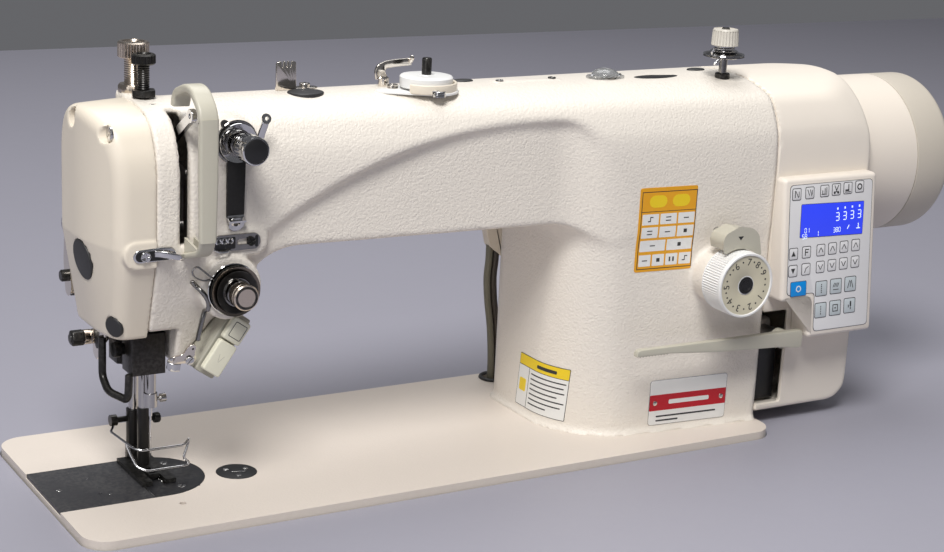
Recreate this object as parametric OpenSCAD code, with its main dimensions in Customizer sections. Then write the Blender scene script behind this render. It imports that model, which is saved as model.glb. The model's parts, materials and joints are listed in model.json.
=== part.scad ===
// Direct-drive lockstitch machine head with walking foot.
// Millimetres. X runs along the bed (needle towards -X, motor towards +X), the operator sits at -Y,
// Z is up. The origin is the middle of the bed's underside, where the machine rests.
// Every part below is drawn from the bed's work surface (z = 0 there) and lifted by on_bed().

/* [Bed] */
// Length of the bed plate
bed_len = 476; // [460:1:520]
// Width of the bed plate
bed_wid = 178; // [174:1:200]
// Depth of the bed casting, work surface to underside
bed_deep = 54; // [53:1:70]
// Thickness of the bed plate's flange
bed_flange = 8; // [6:0.5:10]
// Radius of the bed plate's corners
bed_corner = 16; // [8:1:22]
// Distance of the skirt from the plate's ends
skirt_in_x = 11; // [8:1:16]
// Distance of the skirt from the plate's front and back
skirt_in_y = 22; // [20:1:24]
// Thickness of the skirt and the ribs
bed_wall = 7; // [5:0.5:9]
// Diameter of the two sockets for the table hinges
hinge_bore = 8; // [6:0.5:9]
// Depth of the hinge sockets
hinge_deep = 20; // [15:1:25]
// Distance between the hinge sockets
hinge_gap = 300; // [260:1:320]

/* [Work line] */
// Needle's distance left of the bed's middle
needle_off = 172; // [170:0.5:174]
// Needle line's distance in front of the bed's middle
line_off = 6.3; // [5:0.1:8]
// Walking bar's distance behind the needle
walk_gap = 11.8; // [11.4:0.1:12.4]
// Presser bar's distance behind the needle
press_gap = 28.3; // [27:0.1:30]
// Radius of the needle bar
needle_bar_r = 3.2; // [3:0.05:3.4]
// Radius of the walking bar
walk_bar_r = 3; // [2.6:0.05:3.1]
// Radius of the presser bar
press_bar_r = 3.2; // [3:0.05:3.6]
// Radial running clearance of every shaft and bar
run_gap = 0.05; // [0.02:0.01:0.09]
// Needle stroke
stroke = 36; // [30:1:36]
// Needle tip above the work surface at the top of its stroke
tip_up = 12; // [8:1:14]

/* [Arm] */
// Underside of the arm above the bed
arm_under = 143; // [136:1:150]
// Crown of the arm above the bed
arm_top = 228; // [224:1:236]
// Height of the arm shaft above the bed
shaft_z = 165; // [163:0.5:168]
// Head's depth in front of the needle line
head_front = 34; // [33:0.5:38]
// Head's depth behind the needle line
head_back = 40; // [39:0.5:44]
// Half the column's depth, front to back
column_half = 61.7; // [58:0.5:66]
// Length of the column along the bed
column_len = 145; // [135:1:150]
// Length of the head along the bed
head_len = 69; // [64:1:76]
// Head's left face, left of the needle
head_left = 9; // [8:0.5:11]
// Bottom of the head above the bed
head_bottom = 74; // [72:1:80]
// Wall of the arm casting
arm_wall = 6; // [4:0.5:8]
// Radius of the column's front left corner
column_round = 49; // [30:1:56]
// How far the column's front face runs back towards its left end
column_turn = 8.5; // [2:0.5:12]
// Radius of the arm shaft
shaft_r = 7; // [6:0.5:8]
// Radius of the lower shaft
low_shaft_r = 6; // [5:0.5:7]
// Depth of the lower shaft under the work surface
low_shaft_z = 31; // [29:0.5:32]
// Radius of the rotary hook
hook_r = 17.5; // [16:0.5:18]

/* [Motor and panel] */
// Radius of the motor body and the handwheel
motor_r = 55.5; // [50:0.5:60]
// Length of the motor body beyond the column
motor_len = 129; // [120:1:140]
// Width of the handwheel's rim
wheel_w = 32; // [24:1:40]
// Width of the control panel
panel_w = 79; // [74:1:84]
// Height of the control panel
panel_h = 108; // [100:1:116]
// How far the panel's lower edge stands in front of its upper edge
panel_lean = 9.5; // [4:0.5:14]

/* [Stitch dial] */
// Radius of the dial
dial_r = 21.5; // [18:0.5:24]
// Length of the dial
dial_len = 20; // [14:0.5:24]
// Length of the reverse lever
lever_len = 134; // [110:1:144]

/* [Hidden] */

// Corner cut of the hollows under the crown
crown_cut = 17;
$fn = 48;
hull_fn = 32;
touch = 0.3;

needle_x = -needle_off;
line_y = -line_off;
walk_y = line_y + walk_gap;
press_y = line_y + press_gap;

bed_top = bed_deep;
skirt_y = bed_wid / 2 - skirt_in_y;
skirt_x = bed_len / 2 - skirt_in_x;
rib_x = [-118, 0, 96];
head_x0 = needle_x - head_left;
head_x1 = head_x0 + head_len;
col_x1 = bed_len / 2 - 1;
col_x0 = col_x1 - column_len;
col_y0 = line_y - column_half;
col_y1 = line_y + column_half;
head_y0 = line_y - head_front;
head_y1 = line_y + head_back;

plate_half = 32.25;
plate_deep = 2.5;
plate_split = needle_x - 9.3;
plate_gap = 0.15;

clamp_top = tip_up + 41;
clamp_h = 8.5;
stud_z = shaft_z - 12;
link_len = stroke / 2 + shaft_z - stud_z;
crank_x = needle_x + 21;
crank_t = 8;
crank_r = 26;
pin_r = 4;
link_t = 5;

block_z0 = 62;
block_z1 = 92;
swing_z = 203;
swing_r = 3;

takeup_x = needle_x + 8;
takeup_z = 190;
takeup_y = line_y + 14;
takeup_reach = 56;
takeup_rise = 36;
takeup_pin_r = 3;

upper_pulley_r = 24;
low_pulley_r = upper_pulley_r / 2;
pulley_x = 158;
pulley_w = 14;
belt_t = 2.5;
belt_gap = 0.3;

hook_x0 = needle_x + 2.2;
hook_x1 = hook_x0 + 20;
hook_wall = 1.8;
case_r = hook_r - hook_wall - 0.4;
bobbin_r = 12.2;
bobbin_w = 10;

rock_y = line_y + 46;
rock_z = -low_shaft_z;
rock_r = 5;
rock_arm = 17;
lift_y = line_y - 40;
lift_r = 4;

tension_x = needle_x + 34.5;
tension_z = 123.6;
upper_x = needle_x + 37.4;
upper_z = 208.3;
reg_r = 9.2;
reg_stud_r = 5.4;
walk_reg_r = 7;
walk_stud_r = 3.5;
winder_x = 2;
winder_y = line_y - 6.7;
winder_r = 16.3;
winder_pin_r = 3;
spool_x = col_x1 - 17.5;
spool_y = line_y - 17.5;
dial_x = col_x1 - 41;
dial_z = 105.8;
dial_y = col_y0 - 8.5;
lever_x = col_x1 + 13;
lever_z = 57;
lever_y = col_y0 - 6;
panel_x0 = col_x1 + 0.5;
panel_x1 = panel_x0 + panel_w;
panel_z1 = 168;
panel_z0 = panel_z1 - panel_h;
panel_y1 = col_y0 - 8;
notch_x = panel_x0 + 23;
notch_z = panel_z0 + 26;
motor_x1 = col_x1 + motor_len;
box_z0 = 4;

top_guide_x = -82;
oil_x = 138;
motor_cover_len = 81;
cover_plug = [[head_x0 - 30.4, line_y + 6, 136, 12], [head_x0 - 24.6, head_y0 + 20, 103, 6]];

// Routes of the two leads from the bracket under the arm down through the bed to the trimmer solenoid
lead_r = 2.4;
lead_route = [
    [96, 58, 104], [96, 58, 93], [97, 61, 80], [102, 67, 62], [108, 72, 42], [112, 75.5, 22], [113.5, 77, 7],
    [113.5, 77, -9], [113.5, 76, -17], [113.5, 72, -25], [113.5, 66, -29], [113.5, 58, -29]
];
lead_side = 5.2;
grommet_x = 116.1;
grommet_y = 77;
socket_z = lead_route[0][2];

// Plugs on the crown: x, y, radius
plug_list = [[-74, line_y + 3.3, 10], [40, line_y + 14, 4.5], [col_x1 - 19, line_y + 9.8, 4.5]];
cap_x = needle_x + 50.2;
cap_y = line_y - 12.7;

module on_bed() { translate([0, 0, bed_top]) children(); }
module rod_x(x0, x1, r, y, z) { translate([x0, y, z]) rotate([0, 90, 0]) cylinder(h = x1 - x0, r = r); }
module rod_y(y0, y1, r, x, z) { translate([x, y1, z]) rotate([90, 0, 0]) cylinder(h = y1 - y0, r = r); }
module rod_z(z0, z1, r, x, y) { translate([x, y, z0]) cylinder(h = z1 - z0, r = r); }
module box(x0, x1, y0, y1, z0, z1) { translate([x0, y0, z0]) cube([x1 - x0, y1 - y0, z1 - z0]); }

// Rectangle with round corners, made from exact arcs
module round_rect(x0, x1, y0, y1, r) {
    translate([x0 + r, y0]) square([x1 - x0 - 2 * r, y1 - y0]);
    translate([x0, y0 + r]) square([x1 - x0, y1 - y0 - 2 * r]);
    for (x = [x0 + r, x1 - r], y = [y0 + r, y1 - r]) translate([x, y]) circle(r);
}
// Plate with round corners, lying flat
module slab(x0, x1, y0, y1, z0, z1, r) {
    translate([0, 0, z0]) linear_extrude(z1 - z0) round_rect(x0, x1, y0, y1, r);
}
// Needle plate outline: straight at the slide plate, a half circle towards the column
module plate_outline(grow) {
    difference() {
        union() {
            translate([needle_x, line_y]) circle(plate_half + grow, $fn = 96);
            translate([plate_split - 60, line_y - plate_half - grow])
                square([needle_x - plate_split + 60, 2 * (plate_half + grow)]);
        }
        translate([plate_split - 100, line_y - 60]) square([100, 120]);
    }
}

// Bed plate with its skirt, cross ribs, hinge sockets and shaft bearings
module bed_casting() {
    on_bed() color("antiquewhite") difference() {
        union() {
            slab(-bed_len / 2, bed_len / 2, -bed_wid / 2, bed_wid / 2, -bed_flange, 0, bed_corner);
            difference() {
                slab(-skirt_x, skirt_x, -skirt_y, skirt_y, -bed_deep, -bed_flange + 1, bed_corner / 2);
                slab(-skirt_x + bed_wall, skirt_x - bed_wall, -skirt_y + bed_wall, skirt_y - bed_wall,
                    -bed_deep - 1, -bed_flange, bed_corner / 2 - 2);
            }
            for (x = rib_x)
                box(x - bed_wall / 2, x + bed_wall / 2, -skirt_y + 2, skirt_y - 2, -bed_deep,
                    -bed_flange + 1);
            for (x = [-hinge_gap / 2, hinge_gap / 2])
                rod_y(skirt_y - 4, bed_wid / 2, hinge_bore, x, -bed_flange - 6);
        }
        // recess for the needle plate and the slide plate, and the opening over the hook
        translate([0, 0, -plate_deep]) linear_extrude(plate_deep + 1) plate_outline(plate_gap);
        box(-bed_len / 2 - 1, plate_split + 1, line_y - plate_half - plate_gap,
            line_y + plate_half + plate_gap,
            -plate_deep, 1);
        box(-skirt_x + bed_wall + 3, needle_x + 22, line_y - 25, line_y + 25, -bed_flange - 1, 1);
        // opening under the column for the belt
        box(col_x0 + 22, col_x1 - 18, line_y - 40, line_y + 36, -bed_flange - 1, 1);
        // bearings
        rod_x(-skirt_x + bed_wall - 1, skirt_x - bed_wall - 2, low_shaft_r + run_gap, line_y, -low_shaft_z);
        rod_x(-skirt_x + bed_wall - 1, 102, rock_r + run_gap, rock_y, rock_z);
        rod_x(-skirt_x + bed_wall - 1, 102, lift_r + run_gap, lift_y, rock_z);
        // hinge sockets
        for (x = [-hinge_gap / 2, hinge_gap / 2])
            rod_y(bed_wid / 2 - hinge_deep, bed_wid / 2 + 1, hinge_bore / 2, x, -bed_flange - 6);
        // lead grommet, adjusting hole under the cap and a tapped hole for an edge guide
        rod_z(-bed_flange - 1, 1, 8, grommet_x, grommet_y);
        box(grommet_x - 8, grommet_x + 8, skirt_y - bed_wall - 1, skirt_y + 1, -bed_deep + 14,
            -bed_flange - 4);
        rod_z(-bed_flange - 1, 1, 9, cap_x, cap_y);
        rod_z(-2.4, 1, 12.5, cap_x, cap_y);
        rod_z(-bed_flange - 1, 1, 2, needle_x + 2.3, line_y - 46.5);
    }
}

module needle_plate() {
    on_bed() color([0.12, 0.12, 0.13]) difference() {
        translate([0, 0, -plate_deep]) linear_extrude(plate_deep) plate_outline(0);
        // two slots for the feed teeth, the needle hole between them and two screw holes
        for (x = [-5.2, 5.2])
            box(needle_x + x - 1.9, needle_x + x + 1.9, line_y - 14, line_y + 16, -plate_deep - 1, 1);
        rod_z(-plate_deep - 1, 1, 1.4, needle_x, line_y);
        rod_z(-plate_deep - 1, 1, 1.8, needle_x + 11.5, line_y - 21);
        rod_z(-plate_deep - 1, 1, 1.8, needle_x + 15, line_y + 18);
    }
}

module slide_plate() {
    on_bed() color([0.2, 0.2, 0.22]) difference() {
        box(-bed_len / 2 + 0.5, plate_split - plate_gap, line_y - plate_half, line_y + plate_half,
            -plate_deep + 0.01, 0);
        rod_z(-plate_deep - 1, 1, 1.6, -bed_len / 2 + 10, line_y);
        rod_z(-plate_deep - 1, 1, 0.9, -bed_len / 2 + 30, line_y - 14);
    }
}

// Height of the arm's crown at a place along the bed
function crown(x) = arm_top + max(0, min(1, (x - head_x1) / (col_x0 + column_round - head_x1)));
// Right edge of the head's sloping foot at a height
foot_len = 21;
foot_in = 20;
function edge_x(z) = head_x0 + foot_len + (head_len - foot_len) * (z - head_bottom)
    / (arm_under - head_bottom);

// One cross-section of the arm, a thin slice between four corner rounds
module arm_slice(x, yf, yb, zb, zt, rt, rb) {
    for (c = [[yf + rt, zt - rt, rt], [yb - rt, zt - rt, rt], [yf + rb, zb + rb, rb], [yb - rb, zb + rb, rb]])
        translate([x, c[0], c[1]]) rotate([0, 90, 0]) cylinder(h = 1, r = c[2], $fn = hull_fn);
}

// Prism along Y of an outline drawn in X and Z
module along_y(y0, y1) { translate([0, y1, 0]) rotate([90, 0, 0]) linear_extrude(y1 - y0) children(); }
// Prism along X of an outline drawn in Y and Z
module along_x(x0, x1) { translate([x0, 0, 0]) rotate([90, 0, 90]) linear_extrude(x1 - x0) children(); }

// Upright section between two faces, with a round of its own along each upper edge
module crowned_section(y0, y1, z0, z1, front_r, back_r) {
    translate([y0, z0]) square([y1 - y0, z1 - front_r - z0]);
    translate([y0 + front_r, z0]) square([y1 - y0 - front_r - back_r, z1 - z0]);
    translate([y1 - back_r - 1, z0]) square([back_r + 1, z1 - back_r - z0]);
    translate([y0 + front_r, z1 - front_r]) circle(front_r, $fn = 64);
    translate([y1 - back_r, z1 - back_r]) circle(back_r, $fn = 64);
}
// Plan of the column: round at its front left, its front face turned a little to the left
module column_plan() {
    hull() {
        translate([col_x0 + column_round, col_y0 + column_turn + column_round]) circle(column_round,
            $fn = 64);
        translate([col_x0 + 22, col_y1 - 22]) circle(22);
        for (y = [col_y0, col_y1 - 4]) translate([col_x1 - 4, y]) square(4);
    }
}

module arm_solid() {
    // head, of one section, with a foot that slopes in front and on the right
    along_x(head_x0, head_x1) crowned_section(head_y0, head_y1, arm_under, arm_top, 30, 18);
    rod_z(arm_top - 20, arm_top, 8.7, needle_x, press_y);
    intersection() {
        along_y(head_y0, head_y1) polygon([
            [head_x0, head_bottom], [head_x0 + foot_len, head_bottom], [head_x1, arm_under], [head_x1,
                arm_under + 1],
            [head_x0, arm_under + 1]
        ]);
        along_x(head_x0, head_x1) polygon([
            [head_y0 + foot_in, head_bottom], [head_y0, arm_under], [head_y0, arm_under + 1],
            [head_y1, arm_under + 1], [head_y1, head_bottom]
        ]);
    }
    // arm, widening from the head to the column, with a shallow hollow along its front
    difference() {
        hull() {
            arm_slice(head_x1 - 2, head_y0 + 0.3, head_y1 - 0.3, arm_under + 0.3, arm_top - 0.3, 26, 5);
            arm_slice(col_x0 + column_round, col_y0 + column_turn - 1, col_y1, arm_under, arm_top + 1, 26, 5);
        }
        along_y(head_y0 - 60, head_y0 - 1) recess_outline();
    }
    // column, with the crown running on over it
    intersection() {
        linear_extrude(arm_top + 2) column_plan();
        along_x(col_x0, col_x1) crowned_section(col_y0, col_y1, 0, arm_top + 1, 26, 26);
    }
    // ring round the main thread tension and boss behind the stitch dial
    intersection() {
        rod_y(head_y0 - 4, head_y0 + 14, 19, tension_x, tension_z);
        along_y(head_y0 - 5, head_y0 + 15) polygon([
            [edge_x(100) - 0.3, 100], [edge_x(arm_under) - 0.3, arm_under], [head_x0, arm_under],
                [head_x0, 100]
        ]);
    }
    rod_y(dial_y + touch, col_y0 + 8, dial_r - 1, dial_x, dial_z);
}

// Upper edge of the hollow along the arm's front, a flat ellipse that drops at its right end
recess_x = col_x0 + 13;
recess_up = 65;
module recess_outline() {
    polygon(concat(
        [for (a = [180 : -6 : 90]) [recess_x + (recess_x - head_x1 + 8) * cos(a),
            arm_under + recess_up * sin(a)]],
        [for (a = [84 : -6 : 0]) [recess_x + 32 * cos(a), arm_under + recess_up - 40 + 40 * sin(a)]],
        [[recess_x + 32, arm_under], [recess_x + 20, arm_under - 1], [head_x1 - 8, arm_under - 1]]
    ));
}

// Hollow of the head, following its sloping foot
// Roof of a hollow under the crown: its corners are cut so that the wall keeps its thickness round the bend
function hollow_roof(y0, y1, z) = [
    [y0, z - crown_cut], [y0 + 0.35 * crown_cut, z - 0.41 * crown_cut], [y0 + crown_cut, z],
    [y1 - 0.25 * crown_cut, z], [y1, z - 0.25 * crown_cut]
];
module arm_hollow(x0, x1) {
    along_x(x0, x1) polygon(concat([[head_y1 - arm_wall, arm_under + arm_wall],
        [head_y0 + arm_wall, arm_under + arm_wall]],
        hollow_roof(head_y0 + arm_wall, head_y1 - arm_wall, arm_top - 8)));
}

module head_cavity() {
    z0 = block_z1 + 4;
    z1 = arm_top - arm_wall - 1;
    intersection() {
        along_y(head_y0, head_y1) polygon([
            [head_x0 - 1, z0], [edge_x(z0) - 7, z0],
            [head_x1 - arm_wall - 1, arm_under - 2], [head_x1 - arm_wall, z1], [head_x0 - 1, z1]
        ]);
        along_x(head_x0 - 1, head_x1) polygon(concat([[head_y1 - arm_wall, z0],
            [head_y0 + foot_in + 1, z0], [head_y0 + arm_wall, arm_under - 3]],
            hollow_roof(head_y0 + arm_wall, head_y1 - arm_wall, z1)));
    }
}

module arm_casting() {
    on_bed() color("oldlace") union() {
        difference() {
            arm_solid();
            head_cavity();
            // opening for the bar block at the head's foot
            box(head_x0 - 1, needle_x + 9.3, line_y - 8.3, press_y + 5.3, head_bottom - 1, block_z1 + 5);
            // arm cavities between the walls that carry the shaft
            arm_hollow(head_x1 + 8, 30);
            arm_hollow(42, col_x0 + 30);
            // column cavity, open to the bed, to the motor and to the rear cover
            box(col_x0 + 22, col_x1 - arm_wall, col_y0 + 28, col_y1 - 12, -1, arm_top - 12);
            box(col_x0 + 40, col_x1 - 24, col_y1 - 14, col_y1 + 1, 30, 150);
            rod_x(col_x1 - arm_wall - 1, col_x1 + 1, 30, line_y, shaft_z);
            rod_x(head_x1 - arm_wall - 1, col_x0 + 31, shaft_r + 3, line_y, shaft_z);
            // slot for the take-up lever, up the front and over the crown
            box(takeup_x - 3.2, takeup_x + 3.2, head_y0 - 1, head_y0 + arm_wall + 1, 150, arm_top - 3);
            box(takeup_x - 3.2, takeup_x + 3.2, head_y0 - 1, takeup_y - 22, 205, arm_top + 1);
            box(takeup_x - 3.2, takeup_x + 3.2, head_y0 + arm_wall - 1, head_y0 + arm_wall + crown_cut,
                150, arm_top - arm_wall - 1);
            // upper ends of the bars and their adjusting screws
            rod_z(arm_top - 12, arm_top + 2, needle_bar_r + 0.8, needle_x, line_y);
            rod_z(arm_top - 12, arm_top + 2, walk_stud_r + run_gap, needle_x, walk_y);
            rod_z(arm_top - 12, arm_top + 2, reg_stud_r + run_gap, needle_x, press_y);
            // presser lifter shaft, tension posts and dial shaft
            rod_y(head_y1 - arm_wall - 1, head_y1 + 1, 5 + run_gap, lifter_x, lifter_z);
            rod_y(head_y0 - 5, head_y0 + arm_wall + 1, 4, tension_x, tension_z);
            rod_y(head_y0 - 2, head_y0 + arm_wall + 1, 3, upper_x, upper_z);
            rod_y(dial_y - 1, col_y0 + 17, 6 + run_gap, dial_x, dial_z);
            rod_y(dial_y + 3, col_y0 + 17, 3 + run_gap, dial_x - 2, dial_z + dial_r + 7);
            // winder spindle, spool post and plug seats on the crown
            rod_z(arm_top - 16, arm_top + 3, winder_pin_r + run_gap, winder_x, winder_y);
            rod_z(arm_top - 14, arm_top + 3, 3, spool_x, spool_y);
            for (p = plug_list) rod_z(crown(p[0]) - 2, arm_top + 3, p[2], p[0], p[1]);
            rod_z(arm_top - 5, arm_top + 3, 7.5, oil_x, line_y);
        }
        // lug that guides the needle bar, hanging from the crown
        difference() {
            box(needle_x - 5.5, needle_x + 5.7, line_y - 6, line_y + 5, swing_z - 19, arm_top - arm_wall);
            rod_z(swing_z - 20, arm_top, needle_bar_r + run_gap, needle_x, line_y);
        }
        // lug that carries the swing frame's pivot, hanging from the crown
        difference() {
            box(needle_x - 7.5, needle_x - 4.3, walk_y - 4, walk_y + 5, swing_z - 7, arm_top - arm_wall);
            rod_x(needle_x - 8, needle_x - 4, swing_r + run_gap, walk_y, swing_z);
        }
        // lug that carries the take-up lever's pivot, standing on the head's rear wall
        difference() {
            box(takeup_x + 1.8, takeup_x + 3.8, takeup_y - 5, head_y1 - arm_wall + 1, takeup_z - 6,
                takeup_z + 6);
            rod_x(takeup_x, takeup_x + 5, takeup_pin_r + run_gap, takeup_y, takeup_z);
        }
        // lug that carries the reverse lever's shaft, on the column's right face
        difference() {
            box(col_x1 - 1, lever_x + 7, col_y0 + 16, col_y0 + 30, lever_z - 9, lever_z + 9);
            rod_y(col_y0 + 15, col_y0 + 31, 5 + run_gap, lever_x, lever_z);
        }
    }
}

// Plastic cover over the left end of the head, drawn in towards its foot; s is the distance inside its skin
module cover_form(s) {
    hull() for (ring = [[arm_top - 6, 28, 0], [150, 29, 0], [98, 20.5, 13]])
        for (c = [[2 - 2 * s, head_y0 + 4 + ring[2]], [22, head_y0 + 5 + ring[2]], [ring[1], line_y],
            [ring[1], head_y1 - 6],
            [2 - 2 * s, head_y1 - 4]])
            translate([head_x0 - c[0], c[1], ring[0]]) sphere(r = 4 - s, $fn = 16);
}
module cover_plug_form(p, grow, x0, x1) {
    translate([p[0], p[1], p[2]]) rotate([0, 9, 0]) rod_x(x0, x1, p[3] + grow, 0, 0);
}
module face_cover() {
    on_bed() color("blanchedalmond") difference() {
        cover_form(0);
        cover_form(3);
        box(head_x0 - touch, head_x0 + 20, head_y0 - 10, head_y1 + 10, 80, 240);
        // foot, open round the bar block
        box(head_x0 - 18, head_x0 + 1, line_y - 12, head_y1 - 3, 90, 99);
        for (y = [head_y1 - 10, head_y0 + 12]) rod_x(head_x0 - 60, head_x0 - 5, 4.6, y, arm_top - 14);
        for (p = cover_plug) cover_plug_form(p, 0.1, -5, 8);
    }
}

module rear_cover() {
    on_bed() color("antiquewhite") difference() {
        along_y(col_y1 + 0.1, col_y1 + 3) round_rect(col_x0 + 32, col_x1 - 16, 22, 158, 6);
        for (x = [col_x0 + 37, col_x1 - 21], z = [27, 153]) rod_y(col_y1 - 1, col_y1 + 4, 2, x, z);
    }
}

// Block at the head's foot that guides the bars
module bar_block() {
    on_bed() color([0.13, 0.12, 0.12]) difference() {
        box(needle_x - 14, needle_x + 9, line_y - 8, press_y + 5, block_z0, block_z1);
        rod_z(block_z0 - 1, block_z1 + 1, needle_bar_r + run_gap, needle_x, line_y);
        rod_z(block_z0 - 1, block_z1 + 1, press_bar_r + run_gap, needle_x, press_y);
        box(needle_x - 3.6, needle_x + 3.6, walk_y - walk_bar_r - 2.9, walk_y + walk_bar_r + 2.9,
            block_z0 - 1, block_z1 + 1);
    }
}

// Needle bar with its clamp, clamp screw and driving stud
module needle_bar() {
    on_bed() color("silver") difference() {
        union() {
            rod_z(clamp_top - 1, arm_top - 2, needle_bar_r, needle_x, line_y);
            rod_z(clamp_top - clamp_h, clamp_top, 4, needle_x, line_y);
            rod_x(needle_x + 3, needle_x + 6, 1.2, line_y, clamp_top - 4);
            rod_x(needle_x + 6, needle_x + 9.2, 2.6, line_y, clamp_top - 4);
            rod_z(stud_z - 5, stud_z + 5, 6, needle_x, line_y);
            rod_x(needle_x + 4, crank_x - 9.3, 3, line_y, stud_z);
        }
        rod_z(clamp_top - clamp_h - 1, clamp_top - 2.5, 1, needle_x, line_y);
    }
}

module needle() {
    on_bed() color("gainsboro") {
        rod_z(clamp_top - clamp_h - 6, clamp_top - 2.5, 1, needle_x, line_y);
        rod_z(tip_up + 3, clamp_top - clamp_h - 6, 0.6, needle_x, line_y);
        translate([needle_x, line_y, tip_up]) cylinder(h = 3, r1 = 0.15, r2 = 0.6);
    }
}

// Frame that swings with the walking bar
module swing_frame() {
    on_bed() color("dimgray") difference() {
        union() {
            box(needle_x - 14, needle_x - 8, walk_y - 4.5, walk_y + 4.5, block_z1 + 4.5, swing_z + 7);
            for (z = [block_z1 + 8, swing_z - 25]) box(needle_x - 9, needle_x + 5, walk_y - 5, walk_y + 5,
                z, z + 9);
            rod_x(needle_x - 9, needle_x - 3.8, swing_r, walk_y, swing_z);
        }
        rod_z(block_z1, swing_z - 10, walk_bar_r + run_gap, needle_x, walk_y);
    }
}

module walking_bar() {
    on_bed() color("silver") rod_z(38, swing_z - 9, walk_bar_r, needle_x, walk_y);
}

// Inner foot: a dark sleeve on the bar and a narrow sole slotted for the needle
module walking_foot() {
    on_bed() color([0.1, 0.1, 0.1]) difference() {
        union() {
            rod_z(3, 40, 3.7, needle_x, walk_y);
            box(needle_x - 3.3, needle_x + 3.3, line_y - 6.5, walk_y + 2, 1, 4);
            box(needle_x - 2.5, needle_x + 2.5, walk_y - 3, walk_y + 2, 3, 12);
        }
        rod_z(38, 41, walk_bar_r, needle_x, walk_y);
        box(needle_x - 1.5, needle_x + 1.5, line_y - 4.6, line_y + 4.6, 0, 5);
    }
}

module presser_bar() {
    on_bed() color("silver") {
        rod_z(6, swing_z + 2, press_bar_r, needle_x, press_y);
        // guide collar with the face that the lifter's cam pushes
        box(needle_x - 9, needle_x + 6, press_y - 4.5, head_y1 - arm_wall - 0.3, lifter_z + 5.3,
            lifter_z + 13);
    }
}

// Outer foot: two toes either side of the walking foot, on a socket clamped to the presser bar
module presser_foot() {
    on_bed() color([0.08, 0.08, 0.08]) difference() {
        union() {
            for (s = [-1, 1]) translate([needle_x + s * 7.3, 0, 0]) box(-3.2, 3.2, line_y - 15,
                press_y - 2, touch, 3);
            box(needle_x - 10.5, needle_x + 10.5, press_y - 8.6, press_y + 1, touch, 3);
            box(needle_x - 4, needle_x + 4, press_y - 5, press_y + 4, touch, 12);
            rod_z(touch, 34, 4.6, needle_x, press_y);
            // clamp screw
            rod_x(needle_x - 12, needle_x - 3, 1.8, press_y, 28);
            rod_x(needle_x - 15, needle_x - 11, 3.4, press_y, 28);
        }
        rod_z(6, 35, press_bar_r, needle_x, press_y);
    }
}

// Bent wire that keeps fingers away from the needle, held under the foot's screw
guard_r = 0.9;
guard_path = [
    [-13, 28.3, 24], [-17.5, 20, 24], [-13, -6, 22], [-9, -9.7, 21], [18, -9.7, 21], [22, -7, 24], [20,
        -8.5, 19],
    [17, -9.7, 13], [21, -9.7, 9], [18, -10.7, 8], [-6, -10.7, 8], [-11, -7, 10], [-13, -2, 16], [-14.5,
        2, 22.3]
];
module finger_guard() {
    on_bed() color("silver") translate([needle_x, line_y, 0]) tube(guard_path, guard_r, 8, [0, 0, 1]);
}

// Hand lifter behind the head: cam inside, arm and knob outside
lifter_x = needle_x - 4;
lifter_z = 108;
module lifter_lever() {
    on_bed() color("silver") {
        rod_y(head_y1 - arm_wall - 2, head_y1 + 4, 5, lifter_x, lifter_z);
        box(lifter_x - 12, lifter_x, head_y1 - arm_wall - 2, head_y1 - arm_wall - 0.3, lifter_z - 3,
            lifter_z + 3);
        translate([lifter_x, head_y1 + 1, lifter_z]) rotate([0, 24, 0]) box(-4.5, 4.5, 0, 3.4, -33, 5);
        rod_x(lifter_x - 22, lifter_x - 10, 4.6, head_y1 + 5.5, lifter_z - 31);
        rod_x(lifter_x - 30, lifter_x - 22, 4.9, head_y1 + 5.5, lifter_z - 31);
    }
}

// Link from the crank pin down towards the needle bar's stud
module needle_link() {
    pin_z = shaft_z + stroke / 2;
    on_bed() color("silver") difference() {
        union() {
            rod_x(crank_x - 2.8 - link_t, crank_x - 2.8, 7.2, line_y, pin_z);
            rod_x(crank_x - 2.8 - link_t, crank_x - 2.8, 5.5, line_y, pin_z - link_len);
            box(crank_x - 2.8 - link_t, crank_x - 2.8, line_y - 4, line_y + 4, pin_z - link_len, pin_z);
        }
        rod_x(crank_x - 10, crank_x, pin_r + run_gap, line_y, pin_z);
        rod_x(crank_x - 10, crank_x, 3, line_y, pin_z - link_len);
    }
}

// Arm shaft with its counterweighted crank
module main_shaft() {
    on_bed() color("silver") {
        rod_x(crank_x, motor_x1 + wheel_w - 4, shaft_r, line_y, shaft_z);
        difference() {
            rod_x(crank_x, crank_x + crank_t, crank_r, line_y, shaft_z);
            for (s = [-1, 1]) box(crank_x - 1, crank_x + crank_t + 1, line_y + s * 20 - 9,
                line_y + s * 20 + 9, shaft_z + 4, shaft_z + 30);
        }
        rod_x(crank_x - 8.3, crank_x + 1, pin_r, line_y, shaft_z + stroke / 2);
    }
}

module ring_x(x0, x1, ro, ri, y, z) {
    difference() {
        rod_x(x0, x1, ro, y, z);
        rod_x(x0 - 1, x1 + 1, ri, y, z);
    }
}

module shaft_bushes() {
    on_bed() color("peru") for (x = [[head_x1 - arm_wall, head_x1 + 8], [30, 42]])
        ring_x(x[0], x[1], shaft_r + 2.98, shaft_r + run_gap, line_y, shaft_z);
}

module upper_pulley() {
    on_bed() color("gray") {
        ring_x(pulley_x - pulley_w / 2, pulley_x + pulley_w / 2, upper_pulley_r, shaft_r, line_y, shaft_z);
        ring_x(pulley_x + pulley_w / 2, pulley_x + pulley_w / 2 + 9, 14, shaft_r, line_y, shaft_z);
    }
}

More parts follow.
